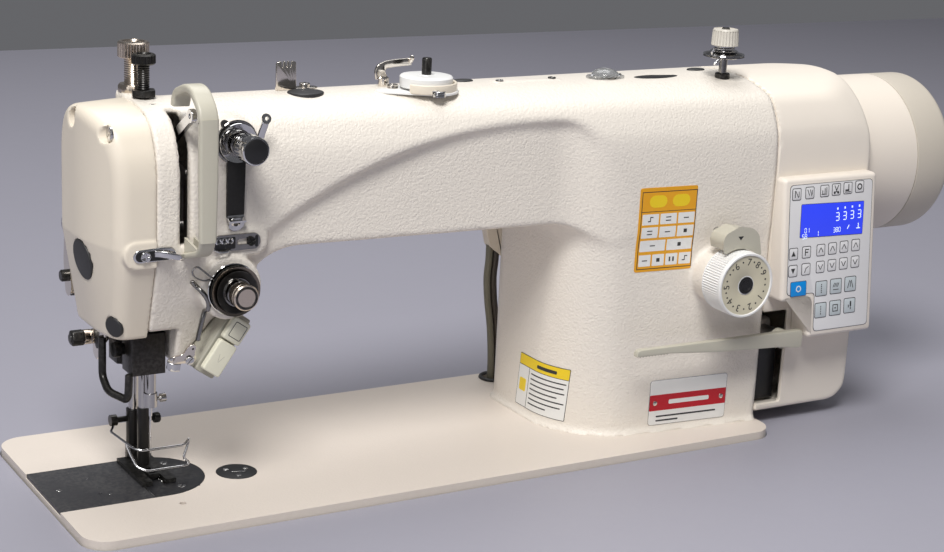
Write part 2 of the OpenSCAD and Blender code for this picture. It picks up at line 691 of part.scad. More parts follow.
module handwheel() {
    x0 = motor_x1 + touch;
    on_bed() color([0.72, 0.69, 0.62]) difference() {
        rod_x(x0, x0 + wheel_w, motor_r, line_y, shaft_z);
        difference() {
            rod_x(x0 + 14, x0 + wheel_w + 1, motor_r - 12, line_y, shaft_z);
            rod_x(x0 + 14, x0 + wheel_w - 3, 18, line_y, shaft_z);
        }
        rod_x(x0 - 1, x0 + wheel_w + 1, shaft_r, line_y, shaft_z);
    }
}

// Area inside a belt that runs round both pulleys, grown by g
module belt_area(g) {
    hull() {
        translate([line_y, shaft_z]) circle(upper_pulley_r + g);
        translate([line_y, -low_shaft_z]) circle(low_pulley_r + g);
    }
}
module timing_belt() {
    on_bed() color([0.1, 0.1, 0.1]) along_x(pulley_x - 5, pulley_x + 5) difference() {
        belt_area(belt_gap + belt_t);
        belt_area(belt_gap);
    }
}

module lower_shaft() {
    on_bed() color("silver") {
        rod_x(hook_x1 - 4, pulley_x + 18, low_shaft_r, line_y, -low_shaft_z);
        rod_x(pulley_x - pulley_w / 2, pulley_x + pulley_w / 2, low_pulley_r, line_y, -low_shaft_z);
    }
}

// Rotary hook: a cup open to the left, with a pointed gap in its rim
module rotary_hook() {
    on_bed() color("silver") difference() {
        rod_x(hook_x0, hook_x1, hook_r, line_y, -low_shaft_z);
        rod_x(hook_x0 - 1, hook_x1 - 4, hook_r - hook_wall, line_y, -low_shaft_z);
        rod_x(hook_x1 - 5, hook_x1 + 1, low_shaft_r, line_y, -low_shaft_z);
        translate([0, line_y, -low_shaft_z]) rotate([35, 0, 0]) box(hook_x0 + 4, hook_x0 + 10, 6, 30, -4, 14);
    }
}

case_x0 = hook_x0 + 0.5;
module bobbin_case() {
    on_bed() color("lightgray") {
        difference() {
            rod_x(case_x0, case_x0 + 13, case_r, line_y, -low_shaft_z);
            rod_x(case_x0 + 1.2, case_x0 + 14, case_r - 1.4, line_y, -low_shaft_z);
        }
        rod_x(case_x0 + 1, case_x0 + 12.5, 2.9, line_y, -low_shaft_z);
    }
}

module bobbin() {
    x0 = case_x0 + 1.7;
    on_bed() color("gainsboro") {
        ring_x(x0, x0 + bobbin_w, 4.4, 2.95, line_y, -low_shaft_z);
        ring_x(x0, x0 + 1, bobbin_r, 2.95, line_y, -low_shaft_z);
        ring_x(x0 + bobbin_w - 1, x0 + bobbin_w, bobbin_r, 2.95, line_y, -low_shaft_z);
        ring_x(x0 + 1, x0 + bobbin_w - 1, bobbin_r - 2, 4, line_y, -low_shaft_z);
    }
}

// Feed dog: toothed rows under the plate's slots, on a bar that runs over the hook to the rock shaft
module feed_dog() {
    on_bed() color("darkgray") difference() {
        union() {
            box(needle_x - 6.8, needle_x + 14, line_y - 11, line_y + 13, -bed_flange - 0.6,
                -plate_deep - 0.2);
            for (x = [-5.2, 5.2]) difference() {
                box(needle_x + x - 1.5, needle_x + x + 1.5, line_y - 9, line_y + 11, -plate_deep - 1, -0.2);
                for (y = [-9 : 2 : 9]) translate([needle_x, line_y + y, 0.6]) rotate([45, 0, 0]) box(-9,
                    9, -0.8, 0.8, -0.8, 0.8);
            }
            box(needle_x + 6, needle_x + 14, lift_y - 3, rock_y + 4, -bed_flange - 4.4, -bed_flange - 0.5);
            box(needle_x + 6, needle_x + 14, rock_y - 5, rock_y + 5, rock_z + rock_arm - 4.5,
                -bed_flange - 0.5);
        }
        box(needle_x - 1.6, needle_x + 1.6, line_y - 5, line_y + 5, -30, 1);
        rod_x(needle_x + 5, needle_x + 15, 2.6, rock_y, rock_z + rock_arm);
    }
}

module feed_rock_shaft() {
    on_bed() color("silver") {
        rod_x(needle_x - 8, 100, rock_r, rock_y, rock_z);
        box(needle_x + 15, needle_x + 21, rock_y - 3.5, rock_y + 3.5, rock_z, rock_z + rock_arm);
        rod_x(needle_x + 15, needle_x + 21, 3.5, rock_y, rock_z + rock_arm);
        rod_x(needle_x + 7, needle_x + 16, 2, rock_y, rock_z + rock_arm);
    }
}

module feed_lift_shaft() {
    on_bed() color("silver") {
        rod_x(needle_x - 8, 100, lift_r, lift_y, rock_z);
        box(needle_x + 7, needle_x + 13, lift_y - 2.5, lift_y + 2.5, rock_z, -bed_flange - 5);
    }
}

// Take-up lever, from its pivot inside the head out through the slot to the thread eye
module takeup_lever() {
    a = atan2(takeup_rise, takeup_reach);
    n = norm([takeup_rise, takeup_reach]);
    on_bed() color("silver") translate([takeup_x, takeup_y, takeup_z]) {
        rotate([-a, 0, 0]) difference() {
            union() {
                rod_x(-1.5, 1.5, 6, 0, 0);
                box(-1.5, 1.5, -n, 0, -3, 3);
                rod_x(-1.5, 1.5, 4, -n, 0);
            }
            rod_x(-2, 2, 1.4, -n, 0);
        }
        rod_x(0, 3.8, takeup_pin_r, 0, 0);
    }
}

// Guard in front of the take-up lever's path: one bent strip with two ribs at its foot
module takeup_guard() {
    x0 = takeup_x - 3;
    x1 = takeup_x + 7.5;
    yf = head_y0 - 28;
    on_bed() color([0.76, 0.73, 0.67]) {
        along_x(x0, x1) polygon([
                [head_y0 + 16, arm_top + 0.3], [head_y0 + 12, arm_top + 9], [head_y0 - 4, arm_top + 16],
                    [head_y0 - 12, arm_top + 14],
                [yf, arm_top + 2], [yf, 156], [yf + 6, 148], [head_y0 - 0.1, 141], [head_y0 - 0.1, 146],
                    [yf + 7, 153],
                [yf + 4.5, 158], [yf + 4.5, arm_top], [head_y0 - 13, arm_top + 9.5], [head_y0 - 4,
                    arm_top + 11.5],
                [head_y0 + 9, arm_top + 5.5], [head_y0 + 12, arm_top + 0.3]
        ]);
        for (x = [x0, x0 + 5]) along_x(x, x + 1.5) polygon([
            [head_y0 - 0.1, 146], [head_y0 - 0.1, 154], [yf + 14, 151.5], [yf + 14, 150.6]
        ]);
    }
}

function unit(v) = v / norm(v);
// Points of a coil round the Y axis that starts straight up
function coil(turns, r0, r1, y0, y1, steps = 16) = [
    for (i = [0 : turns * steps])
        let (t = i / (turns * steps), a = 360 * i / steps, r = r0 + t * (r1 - r0))
        [r * sin(a), y0 + t * (y1 - y0), r * cos(a)]
];
// Normals carried along a list of tangents without twist
function carried(t, u, i = 0) = i == len(t) ? [] : let (w = unit(u - (u * t[i]) * t[i])) concat([w],
    carried(t, w, i + 1));
// Round tube swept along a list of points; ref lies off the first tangent
module tube(path, r, sides, ref) {
    m = len(path);
    t = [for (i = [0 : m - 1]) unit(path[min(i + 1, m - 1)] - path[max(i - 1, 0)])];
    u = carried(t, cross(t[0], ref));
    v = [for (i = [0 : m - 1]) cross(t[i], u[i])];
    polyhedron(
        [for (i = [0 : m - 1], k = [0 : sides - 1])
            path[i] + r * (cos(360 * k / sides) * u[i] + sin(360 * k / sides) * v[i])],
        concat(
            [[for (k = [0 : sides - 1]) k], [for (k = [sides - 1 : -1 : 0]) (m - 1) * sides + k]],
            [for (i = [0 : m - 2], k = [0 : sides - 1])
                [i * sides + k, (i + 1) * sides + k, (i + 1) * sides + (k + 1) % sides,
                    i * sides + (k + 1) % sides]]
        )
    );
}
module ring_y(y0, y1, ro, ri, x, z) {
    difference() {
        rod_y(y0, y1, ro, x, z);
        rod_y(y0 - 1, y1 + 1, ri, x, z);
    }
}
module ring_z(z0, z1, ro, ri, x, y) {
    difference() {
        rod_z(z0, z1, ro, x, y);
        rod_z(z0 - 1, z1 + 1, ri, x, y);
    }
}
// Angle of the head's lower front face
face_tilt = atan2(foot_in, arm_under - head_bottom);

// Plates and eyelets that lead the thread over the head
module thread_guides() {
    g0 = head_y0 - 1.6;
    g1 = head_y0 - 0.05;
    on_bed() color("silver") {
        // left: a plate with a curled lip
        difference() {
            union() {
                box(needle_x - 21, needle_x - 0.5, g0, g1, arm_under + 0.5, arm_under + 6.5);
                box(needle_x - 21, needle_x - 8, g0 - 2.4, g0 + 0.1, arm_under + 5.3, arm_under + 6.5);
            }
            for (x = [-17, -12]) rod_y(g0 - 1, g1 + 1, 0.8, needle_x + x, arm_under + 3);
            rod_y(g0 - 1, g1 + 1, 1.6, needle_x - 4, arm_under + 3.5);
        }
        rod_y(g0 - 1, g0, 2.6, needle_x - 4, arm_under + 3.5);
        // right: a plate with three thread holes
        difference() {
            along_y(g0, g1) round_rect(tension_x - 11, tension_x + 16, tension_z + 22.5, tension_z + 31, 3);
            for (x = [-7, -2, 3]) rod_y(g0 - 1, g1 + 1, 0.8, tension_x + x, tension_z + 27);
            rod_y(g0 - 1, g1 + 1, 1.6, tension_x + 11, tension_z + 27);
        }
        rod_y(g0 - 1, g0, 2.6, tension_x + 11, tension_z + 27);
        // lower: a plate on the sloping foot of the head
        translate([needle_x + 5, head_y0 + foot_in, head_bottom]) rotate([face_tilt, 0, 0]) {
            difference() {
                union() {
                    box(-9, 6, -1.5, -0.05, 2, 16);
                    rod_y(-2.5, -1, 2.6, 2.5, 11);
                }
                for (x = [-5, -2]) rod_y(-3, 1, 0.8, x, 6);
            }
        }
        // upper: an eyelet beside the upper tension
        box(upper_x + 11.8, upper_x + 16.3, g0, g1, upper_z - 6, upper_z + 3);
        rod_z(upper_z + 1, upper_z + 10, 0.7, upper_x + 14, head_y0 - 0.9);
        translate([upper_x + 14, head_y0 - 2.6, upper_z + 11.5]) rotate([0, 90, 0]) rotate_extrude()
            translate([2.2, 0]) circle(0.8);
        // top: a bent plate with notches standing on the crown
        difference() {
            union() {
                box(top_guide_x - 6, top_guide_x + 6, line_y + 14, line_y + 15.4, crown(top_guide_x)
                    + 0.2, arm_top + 18);
                box(top_guide_x - 6, top_guide_x + 18, line_y + 14, line_y + 21, crown(top_guide_x) + 0.2,
                    crown(top_guide_x) + 1.7);
            }
            for (x = [-4, 0, 4]) box(top_guide_x + x - 0.6, top_guide_x + x + 0.6, line_y + 13,
                line_y + 16, arm_top + 14, arm_top + 19);
        }
        rod_z(crown(top_guide_x) + 1.6, crown(top_guide_x) + 4, 3, top_guide_x + 14, line_y + 17.5);
    }
}

// Dark strip under the upper tension with an eye at its foot
module tension_bracket() {
    on_bed() color([0.1, 0.1, 0.1]) difference() {
        union() {
            box(upper_x - 5.8, upper_x + 5.8, head_y0 - 1.7, head_y0 - 0.05, tension_z + 35.5, upper_z + 6);
            box(upper_x - 5.8, upper_x + 5.8, head_y0 - 6, head_y0 - 1.6, tension_z + 35.5, tension_z + 37);
        }
        rod_y(head_y0 - 3, head_y0 + 1, 3, upper_x, upper_z);
        rod_z(tension_z + 35, tension_z + 38, 1.2, upper_x, head_y0 - 3.8);
    }
}

// Thread tension: a post, two discs pressed together and a coil spring
module tension_set(x, z, y, post_r, post_len, disc_r, spring_r, spring_len) {
    rod_y(y - post_len, head_y0 + arm_wall, post_r, x, z);
    for (d = [0, 1.7]) translate([0, -d, 0]) ring_y(y - 1.4, y, disc_r, post_r + 0.1, x, z);
    translate([x, y - 3.2 - 0.5, z]) tube(coil(3, spring_r, spring_r * 0.8, 0, -spring_len), 0.55, 8, [0,
        1, 0]);
}
module upper_tension() {
    on_bed() color("silver") tension_set(upper_x, upper_z, head_y0 - 2.2, 2.9, 26, 11.5, 5.6, 10);
}
module main_tension() {
    on_bed() color("silver") {
        tension_set(tension_x, tension_z, head_y0 - 9, 3.9, 25, 14.5, 6.6, 4.2);
        ring_y(head_y0 - 6, head_y0 - 4.1, 13, 4, tension_x, tension_z);
    }
}

// Knurled thumb nuts
module knurl_y(y0, y1, r, bore, x, z, teeth) {
    difference() {
        rod_y(y0, y1, r, x, z);
        rod_y(y0 - 1, y1 + 1, bore, x, z);
        for (k = [0 : teeth - 1]) translate([x, 0, z]) rotate([0, 360 * k / teeth, 0])
            translate([r + 0.25, 0, 0])
            rotate([0, 45, 0]) box(-0.6, 0.6, y0 - 1, y1 - 1.4, -0.6, 0.6);
    }
}
module upper_tension_knob() {
    on_bed() color("silver") knurl_y(head_y0 - 29.5, head_y0 - 17, 8.2, 2.95, upper_x, upper_z, 24);
}
module main_tension_nut() {
    on_bed() color("silver") knurl_y(head_y0 - 26, head_y0 - 17.6, 7.6, 3.95, tension_x, tension_z, 24);
}

// Check spring: a turn of wire round the tension post and a long loop to the left
module check_spring() {
    y = head_y0 - 7.4;
    on_bed() color("silver") {
        translate([tension_x, y, tension_z]) rotate([90, 0, 0]) rotate_extrude() translate([5.2, 0])
            circle(0.7);
        translate([tension_x, y, tension_z]) tube([
            [-4.8, 0, 2], [-15, -0.3, 8.4], [-20, -0.3, 14], [-23, -0.2, 15.4], [-25, 0, 14.4], [-25, 0, 12],
            [-22, 0.3, 9.5], [-15.5, 0.3, 6.8]
        ], 0.6, 8, [0, 1, 0]);
    }
}

// Switch unit on the sloping edge of the head, with two push buttons
switch_z = [tension_z - 46, tension_z - 28.5, tension_z - 14];
switch_y = head_y0 - 5.7;
module switch_outline(z0, z1, g, w) {
    polygon([[edge_x(z0) + g, z0], [edge_x(z0) + g + w, z0], [edge_x(z1) + g + w, z1], [edge_x(z1) + g, z1]]);
}
module switch_housing() {
    on_bed() color([0.12, 0.12, 0.12]) difference() {
        along_y(switch_y + 5.6, head_y0 + 22) switch_outline(switch_z[0] - 1, switch_z[2] + 1, 0.2, 15);
        along_y(switch_y + 5, switch_y + 10) switch_outline(switch_z[0] + 1, switch_z[2] - 1, 4, 9.2);
    }
}
module switch_button(k) {
    along_y(switch_y, switch_y + 3.8) switch_outline(switch_z[k] + 0.5, switch_z[k + 1] - 0.5, 3.2, 11.6);
    along_y(switch_y + 3.7, switch_y + 7) switch_outline(switch_z[k] + 2, switch_z[k + 1] - 2, 6, 7);
}
module back_tack_button() { on_bed() color("ivory") switch_button(1); }
module half_stitch_button() { on_bed() color("ivory") switch_button(0); }

// Knurled adjusting screw standing on the crown
module regulator(y, head_r, stud_r, z_foot, z0, z1, teeth) {
    on_bed() difference() {
        union() {
            rod_z(z_foot, z0 + 1, stud_r, needle_x, y);
            rod_z(z0, z1, head_r, needle_x, y);
        }
        for (k = [0 : teeth - 1]) translate([needle_x, y, 0]) rotate([0, 0, 360 * k / teeth])
            translate([head_r + 0.25, 0, 0])
            rotate([0, 0, 45]) box(-0.6, 0.6, -0.6, 0.6, z0 - 1, z1 - 1.5);
        box(needle_x - head_r, needle_x + head_r, y - 0.7, y + 0.7, z1 - 1.6, z1 + 1);
    }
}
module foot_pressure_screw() {
    color("silver") regulator(press_y, reg_r, reg_stud_r, swing_z + 12, arm_top + 19.8, arm_top + 29.5, 28);
}
module walk_pressure_screw() {
    color([0.12, 0.12, 0.12]) regulator(walk_y, walk_reg_r, walk_stud_r, swing_z + 12, arm_top + 18.5,
        arm_top + 24.8, 20);
}
// Lock nuts of the two adjusting screws
module lock_nuts() {
    on_bed() color("silver") {
        ring_z(arm_top + 0.1, arm_top + 4.6, reg_r - 0.3, reg_stud_r + run_gap, needle_x, press_y);
        difference() {
            translate([needle_x, walk_y, arm_top + 0.1]) cylinder(h = 4, r = walk_reg_r - 0.5, $fn = 6);
            rod_z(arm_top - 1, arm_top + 6, walk_stud_r + run_gap, needle_x, walk_y);
        }
    }
}

// Bobbin winder on the crown
module winder_base() {
    z = crown(winder_x) + 0.1;
    on_bed() color("gray") difference() {
        union() {
            rod_z(z, z + 2, 19, winder_x, winder_y);
            rod_z(z, z + 1.6, 6, winder_x - 2, winder_y - 18);
            rod_z(z + 1.5, z + 3.2, 3, winder_x - 2, winder_y - 19.5);
        }
        rod_z(z - 1, z + 5, winder_pin_r + run_gap, winder_x, winder_y);
    }
}
module winder_wheel() {
    z = crown(winder_x) + 2.4;
    on_bed() color("silver") {
        rod_z(arm_top - 14, arm_top + 19, winder_pin_r, winder_x, winder_y);
        rod_z(z, z + 2.6, winder_r, winder_x, winder_y);
        rod_z(z + 2.5, z + 5, winder_r - 7, winder_x, winder_y);
    }
}
module winder_latch() {
    z = crown(winder_x) + 0.2;
    x = winder_x - 22;
    y = winder_y + 18;
    on_bed() color("silver") {
        rod_z(z, z + 9, 3.4, x, y);
        box(x, x + 20, y + 1.8, y + 3.3, z + 5.6, z + 13);
        box(x + 14, x + 20, y - 1, y + 2, z + 9, z + 17);
    }
}

// Spool tension: post, two discs and a spring
module spool_tension() {
    z = arm_top + 1;
    on_bed() color("silver") {
        rod_z(arm_top - 12, z + 32, 2.9, spool_x, spool_y);
        ring_z(z + 0.1, z + 4, 4.9, 3, spool_x, spool_y);
        for (d = [0, 2.2]) ring_z(z + 12 + d, z + 13.6 + d, 13.7, 3, spool_x, spool_y);
        ring_z(z + 4.1, z + 11.9, 3.9, 3, spool_x, spool_y);
        translate([spool_x, spool_y, z + 16.6]) rotate([90, 0, 0]) tube(coil(1, 6.4, 5.6, 0, 2.2), 0.5, 8,
            [0, 1, 0]);
    }
}
module spool_tension_cap() {
    z = arm_top + 1;
    on_bed() color("cornsilk") difference() {
        rod_z(z + 19.6, z + 31, 8.9, spool_x, spool_y);
        rod_z(z + 19, z + 32, 2.95, spool_x, spool_y);
        for (k = [0 : 23]) translate([spool_x, spool_y, 0]) rotate([0, 0, 15 * k]) translate([9.15, 0, 0])
            rotate([0, 0, 45]) box(-0.6, 0.6, -0.6, 0.6, z + 18, z + 29);
    }
}

// Domed oil sight on an oblong base
module oil_sight() {
    z = arm_top + 1.1;
    on_bed() color("gainsboro") {
        rod_z(arm_top - 4, z + 1, 7.4, oil_x, line_y);
        slab(oil_x - 13.5, oil_x + 13.5, line_y - 7, line_y + 7, z, z + 1.6, 6.9);
        intersection() {
            translate([oil_x, line_y, z - 6]) sphere(r = 11.2);
            rod_z(z + 1.5, z + 10, 9, oil_x, line_y);
        }
    }
}

// Dark rubber plugs: three on the crown, two in the face cover and the round cap in the bed
module cover_plugs() {
    on_bed() color([0.08, 0.08, 0.08]) {
        for (p = plug_list) rod_z(crown(p[0]) - 1.95, crown(p[0]) + 0.9, p[2] - 0.05, p[0], p[1]);
        difference() {
            rod_z(-2.35, 0.2, 12.4, cap_x, cap_y);
            for (a = [0 : 120 : 240]) rod_z(-3, 1, 1.2, cap_x + 7 * cos(a), cap_y + 7 * sin(a));
        }
        for (p = cover_plug) cover_plug_form(p, 0, -0.7, 3);
    }
}

module stitch_dial() {
    on_bed() color("ivory") difference() {
        union() {
            rod_y(dial_y - dial_len, dial_y, dial_r, dial_x, dial_z);
            rod_y(dial_y - 1, col_y0 + 16, 6, dial_x, dial_z);
        }
        ring_y(dial_y - dial_len - 1, dial_y - dial_len + 1.2, dial_r - 7.5, 7, dial_x, dial_z);
    }
}

// Sprung tab over the dial that frees it
module dial_lock() {
    on_bed() color([0.76, 0.73, 0.67]) {
        along_y(dial_y - 11.5, dial_y + 4.5) round_rect(dial_x - 16, dial_x + 12, dial_z + dial_r + 1.2,
            dial_z + dial_r + 13, 3);
        rod_y(dial_y + 4, col_y0 + 12, 3, dial_x - 2, dial_z + dial_r + 7);
    }
}

// Long reverse lever, on a shaft that runs back into the column
module reverse_lever() {
    x0 = lever_x + 9 - lever_len;
    teeth = 9;
    on_bed() color([0.76, 0.73, 0.67]) {
        along_y(lever_y - 8, lever_y - 3.5) polygon(concat(
            [[lever_x + 9, lever_z - 4], [lever_x + 9, lever_z + 5], [x0 + 2, lever_z + 8]],
            [for (k = [0 : teeth]) each [[x0 + 3 * k, lever_z + 3.7 - k * 0.18], [x0 + 3 * k + 1.5,
                lever_z + 4.2 - k * 0.18]]]
        ));
        rod_y(lever_y - 4, col_y0 + 31, 5, lever_x, lever_z);
    }
}

// Drum of the direct-drive motor with its stator
module motor_housing() {
    x0 = col_x1 + 30;
    on_bed() color([0.9, 0.87, 0.82]) difference() {
        union() {
            rod_x(x0, motor_x1, motor_r, line_y, shaft_z);
            rod_x(col_x1 + 0.1, x0 + 1, 38, line_y, shaft_z);
        }
        rod_x(col_x1 - 1, x0 + 6, 30, line_y, shaft_z);
        rod_x(x0 + 5, motor_x1 - 8, 33, line_y, shaft_z);
        rod_x(x0 + 5, motor_x1 + 1, 9, line_y, shaft_z);
        difference() {
            rod_x(x0 + 5, x0 + 16, motor_r - 5, line_y, shaft_z);
            rod_x(x0 + 4, x0 + 17, 42, line_y, shaft_z);
        }
    }
}

// Plastic cover round the motor, with the electronics box at its foot
module motor_form(g) {
    x1 = col_x1 + motor_cover_len - g;
    hull() {
        for (c = [[col_y0 + 32, 30], [col_y1 - 32, 30]]) rod_x(col_x1 + 0.15 - g, col_x1 + 40, c[1] - g,
            c[0], arm_top - 31, $fn = hull_fn);
        rod_x(x1 - 1, x1, motor_r + 1.8 - g, line_y, shaft_z, $fn = hull_fn);
        box(col_x1 + 0.15 - g, col_x1 + 40, col_y0 + 1 + g, col_y1 - 1 - g, 110, arm_under);
        box(x1 - 2, x1, line_y - 20, line_y + 20, 108, 112);
    }
    hull() {
        rod_y(col_y0 + 1 + g, col_y1 - 1 - g, 20 - g, x1 - 20 + g, box_z0 + 20, $fn = hull_fn);
        box(col_x1 + 0.15 - g, col_x1 + 20, col_y0 + 1 + g, col_y1 - 1 - g, box_z0 + g, 112);
        box(x1 - 8, x1, col_y0 + 1 + g, col_y1 - 1 - g, 104, 112);
    }
}
module motor_cover() {
    on_bed() color([0.86, 0.8, 0.73]) difference() {
        motor_form(0);
        difference() {
            motor_form(3);
            // the floor and the left rim stay
            box(col_x1 - 10, col_x1 + 3, col_y0 - 5, col_y1 + 5, -10, box_z0 + 6);
        }
        rod_x(col_x1 + 30, col_x1 + 120, motor_r + touch, line_y, shaft_z);
        box(col_x1 - 1, col_x1 + 20, col_y0 - 5, col_y0 + 32, box_z0 + 7, 75);
    }
}

// Operating panel: a leaning face with a display and flat keys, one corner left out over the lever
panel_tilt = atan2(panel_lean, panel_h);
module panel_key(u, v, w, h, t) { box(panel_x0 + u, panel_x0 + u + w, -t, 0.3, v - panel_h,
    v + h - panel_h); }
module control_panel() {
    on_bed() color([0.9, 0.86, 0.8]) {
        difference() {
            along_x(panel_x0, panel_x1) polygon([
                [col_y0 - 0.3, panel_z1], [panel_y1, panel_z1], [panel_y1 - panel_lean, panel_z0],
                    [col_y0 - 0.3, panel_z0]
            ]);
            box(panel_x0 - 1, notch_x, panel_y1 - 20, col_y0 + 1, panel_z0 - 1, notch_z);
        }
        translate([0, panel_y1, panel_z1]) rotate([-panel_tilt, 0, 0]) {
            for (u = [6, 15, 27, 36, 45, 54]) panel_key(u, 90, 7.5, 9, 0.5);
            panel_key(14, 68, 43, 19, 0.3);
            for (u = [5, 15, 27, 36, 45, 54], v = [46, 56]) panel_key(u, v, 7.5, 9, 0.5);
            for (u = [27, 38.5, 50], v = [18, 32]) panel_key(u, v, 9, 10, 0.5);
            panel_key(7, 33, 12, 9, 0.5);
        }
    }
}

// Solenoid that works the thread trimmer, under the bed
module trimmer_solenoid() {
    x = lead_route[11][0] + lead_side / 2;
    on_bed() color("dimgray") {
        box(x - 12, x + 12, 31, lead_route[11][1], rock_z - 14, rock_z + 12);
        box(x - 16, x + 16, 31, 33, rock_z - 14, rock_z + 12);
        rod_y(24, 31, 4, x, rock_z);
        box(x - 16, x - 12.5, 31, skirt_y - bed_wall - 0.1, rock_z - 14, rock_z + 6);
    }
}

// Two leads from the bracket under the arm through the bed to the solenoid
module lead_pair() {
    on_bed() color([0.42, 0.4, 0.34]) for (dx = [0, lead_side])
        translate([dx, 0, 0]) tube(lead_route, lead_r, 10, [1, 0, 0]);
}
// Bracket under the arm and rubber grommet in the bed
module lead_fittings() {
    x = lead_route[0][0];
    y = lead_route[0][1];
    on_bed() {
        color("whitesmoke") difference() {
            union() {
                box(x - 5, x + lead_side + 4, y - 3.2, y + 4, socket_z - 9, arm_under - 0.1);
                box(x - 16, x - 4, y - 16, y + 4, arm_under - 3, arm_under - 0.1);
            }
            for (dx = [0, lead_side]) rod_z(socket_z - 10, socket_z, lead_r + 0.15, x + dx, y);
        }
        color([0.06, 0.06, 0.06]) difference() {
            union() {
                rod_z(0.05, 2.2, 10.5, grommet_x, grommet_y);
                rod_z(-bed_flange, 1, 7.95, grommet_x, grommet_y);
            }
            for (dx = [0, lead_side]) rod_z(-bed_flange - 1, 3, lead_r + 0.15, lead_route[7][0] + dx,
                grommet_y);
        }
    }
}

bed_casting();
needle_plate();
slide_plate();
arm_casting();
face_cover();
rear_cover();
bar_block();
needle_bar();
needle();
swing_frame();
walking_bar();
walking_foot();
presser_bar();
presser_foot();
finger_guard();
lifter_lever();
needle_link();
main_shaft();
shaft_bushes();
upper_pulley();
handwheel();
timing_belt();
lower_shaft();
rotary_hook();
bobbin_case();
bobbin();
feed_dog();
feed_rock_shaft();
feed_lift_shaft();
takeup_lever();
takeup_guard();
thread_guides();
tension_bracket();
upper_tension();
upper_tension_knob();
main_tension();
main_tension_nut();
check_spring();
switch_housing();
back_tack_button();
half_stitch_button();
foot_pressure_screw();
walk_pressure_screw();
lock_nuts();
winder_base();
winder_wheel();
winder_latch();
spool_tension();
spool_tension_cap();
oil_sight();
cover_plugs();
stitch_dial();
dial_lock();
reverse_lever();
motor_housing();
motor_cover();
control_panel();
trimmer_solenoid();
lead_pair();
lead_fittings();
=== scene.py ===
"""Walking foot sewing machine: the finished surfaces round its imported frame.

Lengths are in millimetres from the bed's work surface until Piece.make() turns them to metres in the frame.
"""
import json
import math

import bmesh
import bpy
import numpy as np
from mathutils import Matrix, Vector

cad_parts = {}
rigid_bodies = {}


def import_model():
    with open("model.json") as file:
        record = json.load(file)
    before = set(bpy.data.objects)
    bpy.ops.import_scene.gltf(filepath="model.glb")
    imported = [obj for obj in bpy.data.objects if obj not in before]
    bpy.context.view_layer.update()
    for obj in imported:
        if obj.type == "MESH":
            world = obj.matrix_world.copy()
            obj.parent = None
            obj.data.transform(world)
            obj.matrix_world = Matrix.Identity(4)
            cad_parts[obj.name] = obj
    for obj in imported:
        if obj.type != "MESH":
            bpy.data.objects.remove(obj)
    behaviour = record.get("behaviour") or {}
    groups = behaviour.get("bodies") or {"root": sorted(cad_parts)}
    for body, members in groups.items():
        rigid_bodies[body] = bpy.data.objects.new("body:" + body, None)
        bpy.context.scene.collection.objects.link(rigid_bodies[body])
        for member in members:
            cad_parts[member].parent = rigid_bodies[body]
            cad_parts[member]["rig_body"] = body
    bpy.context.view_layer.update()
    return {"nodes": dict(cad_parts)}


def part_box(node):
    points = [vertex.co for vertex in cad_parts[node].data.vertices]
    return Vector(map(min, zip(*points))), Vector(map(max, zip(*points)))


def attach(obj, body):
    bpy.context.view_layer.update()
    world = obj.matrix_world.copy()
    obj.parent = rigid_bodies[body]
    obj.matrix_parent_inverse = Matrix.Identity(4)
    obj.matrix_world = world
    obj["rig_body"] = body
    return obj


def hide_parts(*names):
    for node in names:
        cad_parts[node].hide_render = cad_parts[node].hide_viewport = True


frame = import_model()
NODES = frame["nodes"]
SCENE = bpy.context.scene
LEFT, RIGHT, FRONT, REAR = (-1, 0, 0), (1, 0, 0), (0, -1, 0), (0, 1, 0)
UP, DOWN = (0, 0, 1), (0, 0, -1)


def cad(node):
    """Lowest and highest corner of a CAD node in millimetres, row frame."""
    return [np.array(c) * 1000 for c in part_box(node)]


BED = cad("needle_plate")[1][2]


def span(node):
    """Lowest and highest corner of a CAD node in millimetres, from the bed's work surface."""
    return [c - (0, 0, BED) for c in cad(node)]


# the needle's line, the sides of head and column, and the heights of crown, arm's underside and arm shaft
NX, NY = sum(span("needle"))[:2] / 2
HEAD_X0 = span("arm_casting")[0][0]
HEAD_Y0 = NY - 34
HEAD_Y1 = NY + 40
TOP = 228.0
UNDER = 143.0
COL_X1 = span("motor_cover")[0][0] - 0.15
COL_X0 = COL_X1 - 143
COL_Y1 = NY + 61.7
SHAFT_Z = 165.0
HEAD_X1 = HEAD_X0 + 69
PRESS_Y, WALK_Y = NY + 28.3, NY + 11.8  # centre lines of the presser bar and the walking bar
TAPER_X0, TAPER_X1 = -112, 237  # where the arm's section starts and stops changing
# lower end of the head's sloping right edge, then its run, its rise and its length
EDGE_X, EDGE_Z, EDGE_RUN, EDGE_RISE, EDGE_LONG = -160.0, 74.0, 48, 69, 84.05
# x and z of the axes of the main tension, the upper tension and the stitch dial
TENSION = np.array((NX + 34.5, 123.6))
UPPER = np.array((NX + 37.4, 208.3))
DIAL = np.array((COL_X1 - 41, 105.8))
# y, z and radius of the cover's screw recesses; y, z, radius and floor of its plug holes
COVER_WELLS = ((9.7, 217.5, 5.6), (-27.5, 214.2, 5.2))
COVER_HOLES = ((-0.5, 136.5, 12.3, -208.6), (-23.3, 101.3, 6.4, -199.4))
ABOVE, BEFORE = 260.0, -100.0  # start of rays that drop on the crown and on the front

# -------------------- camera


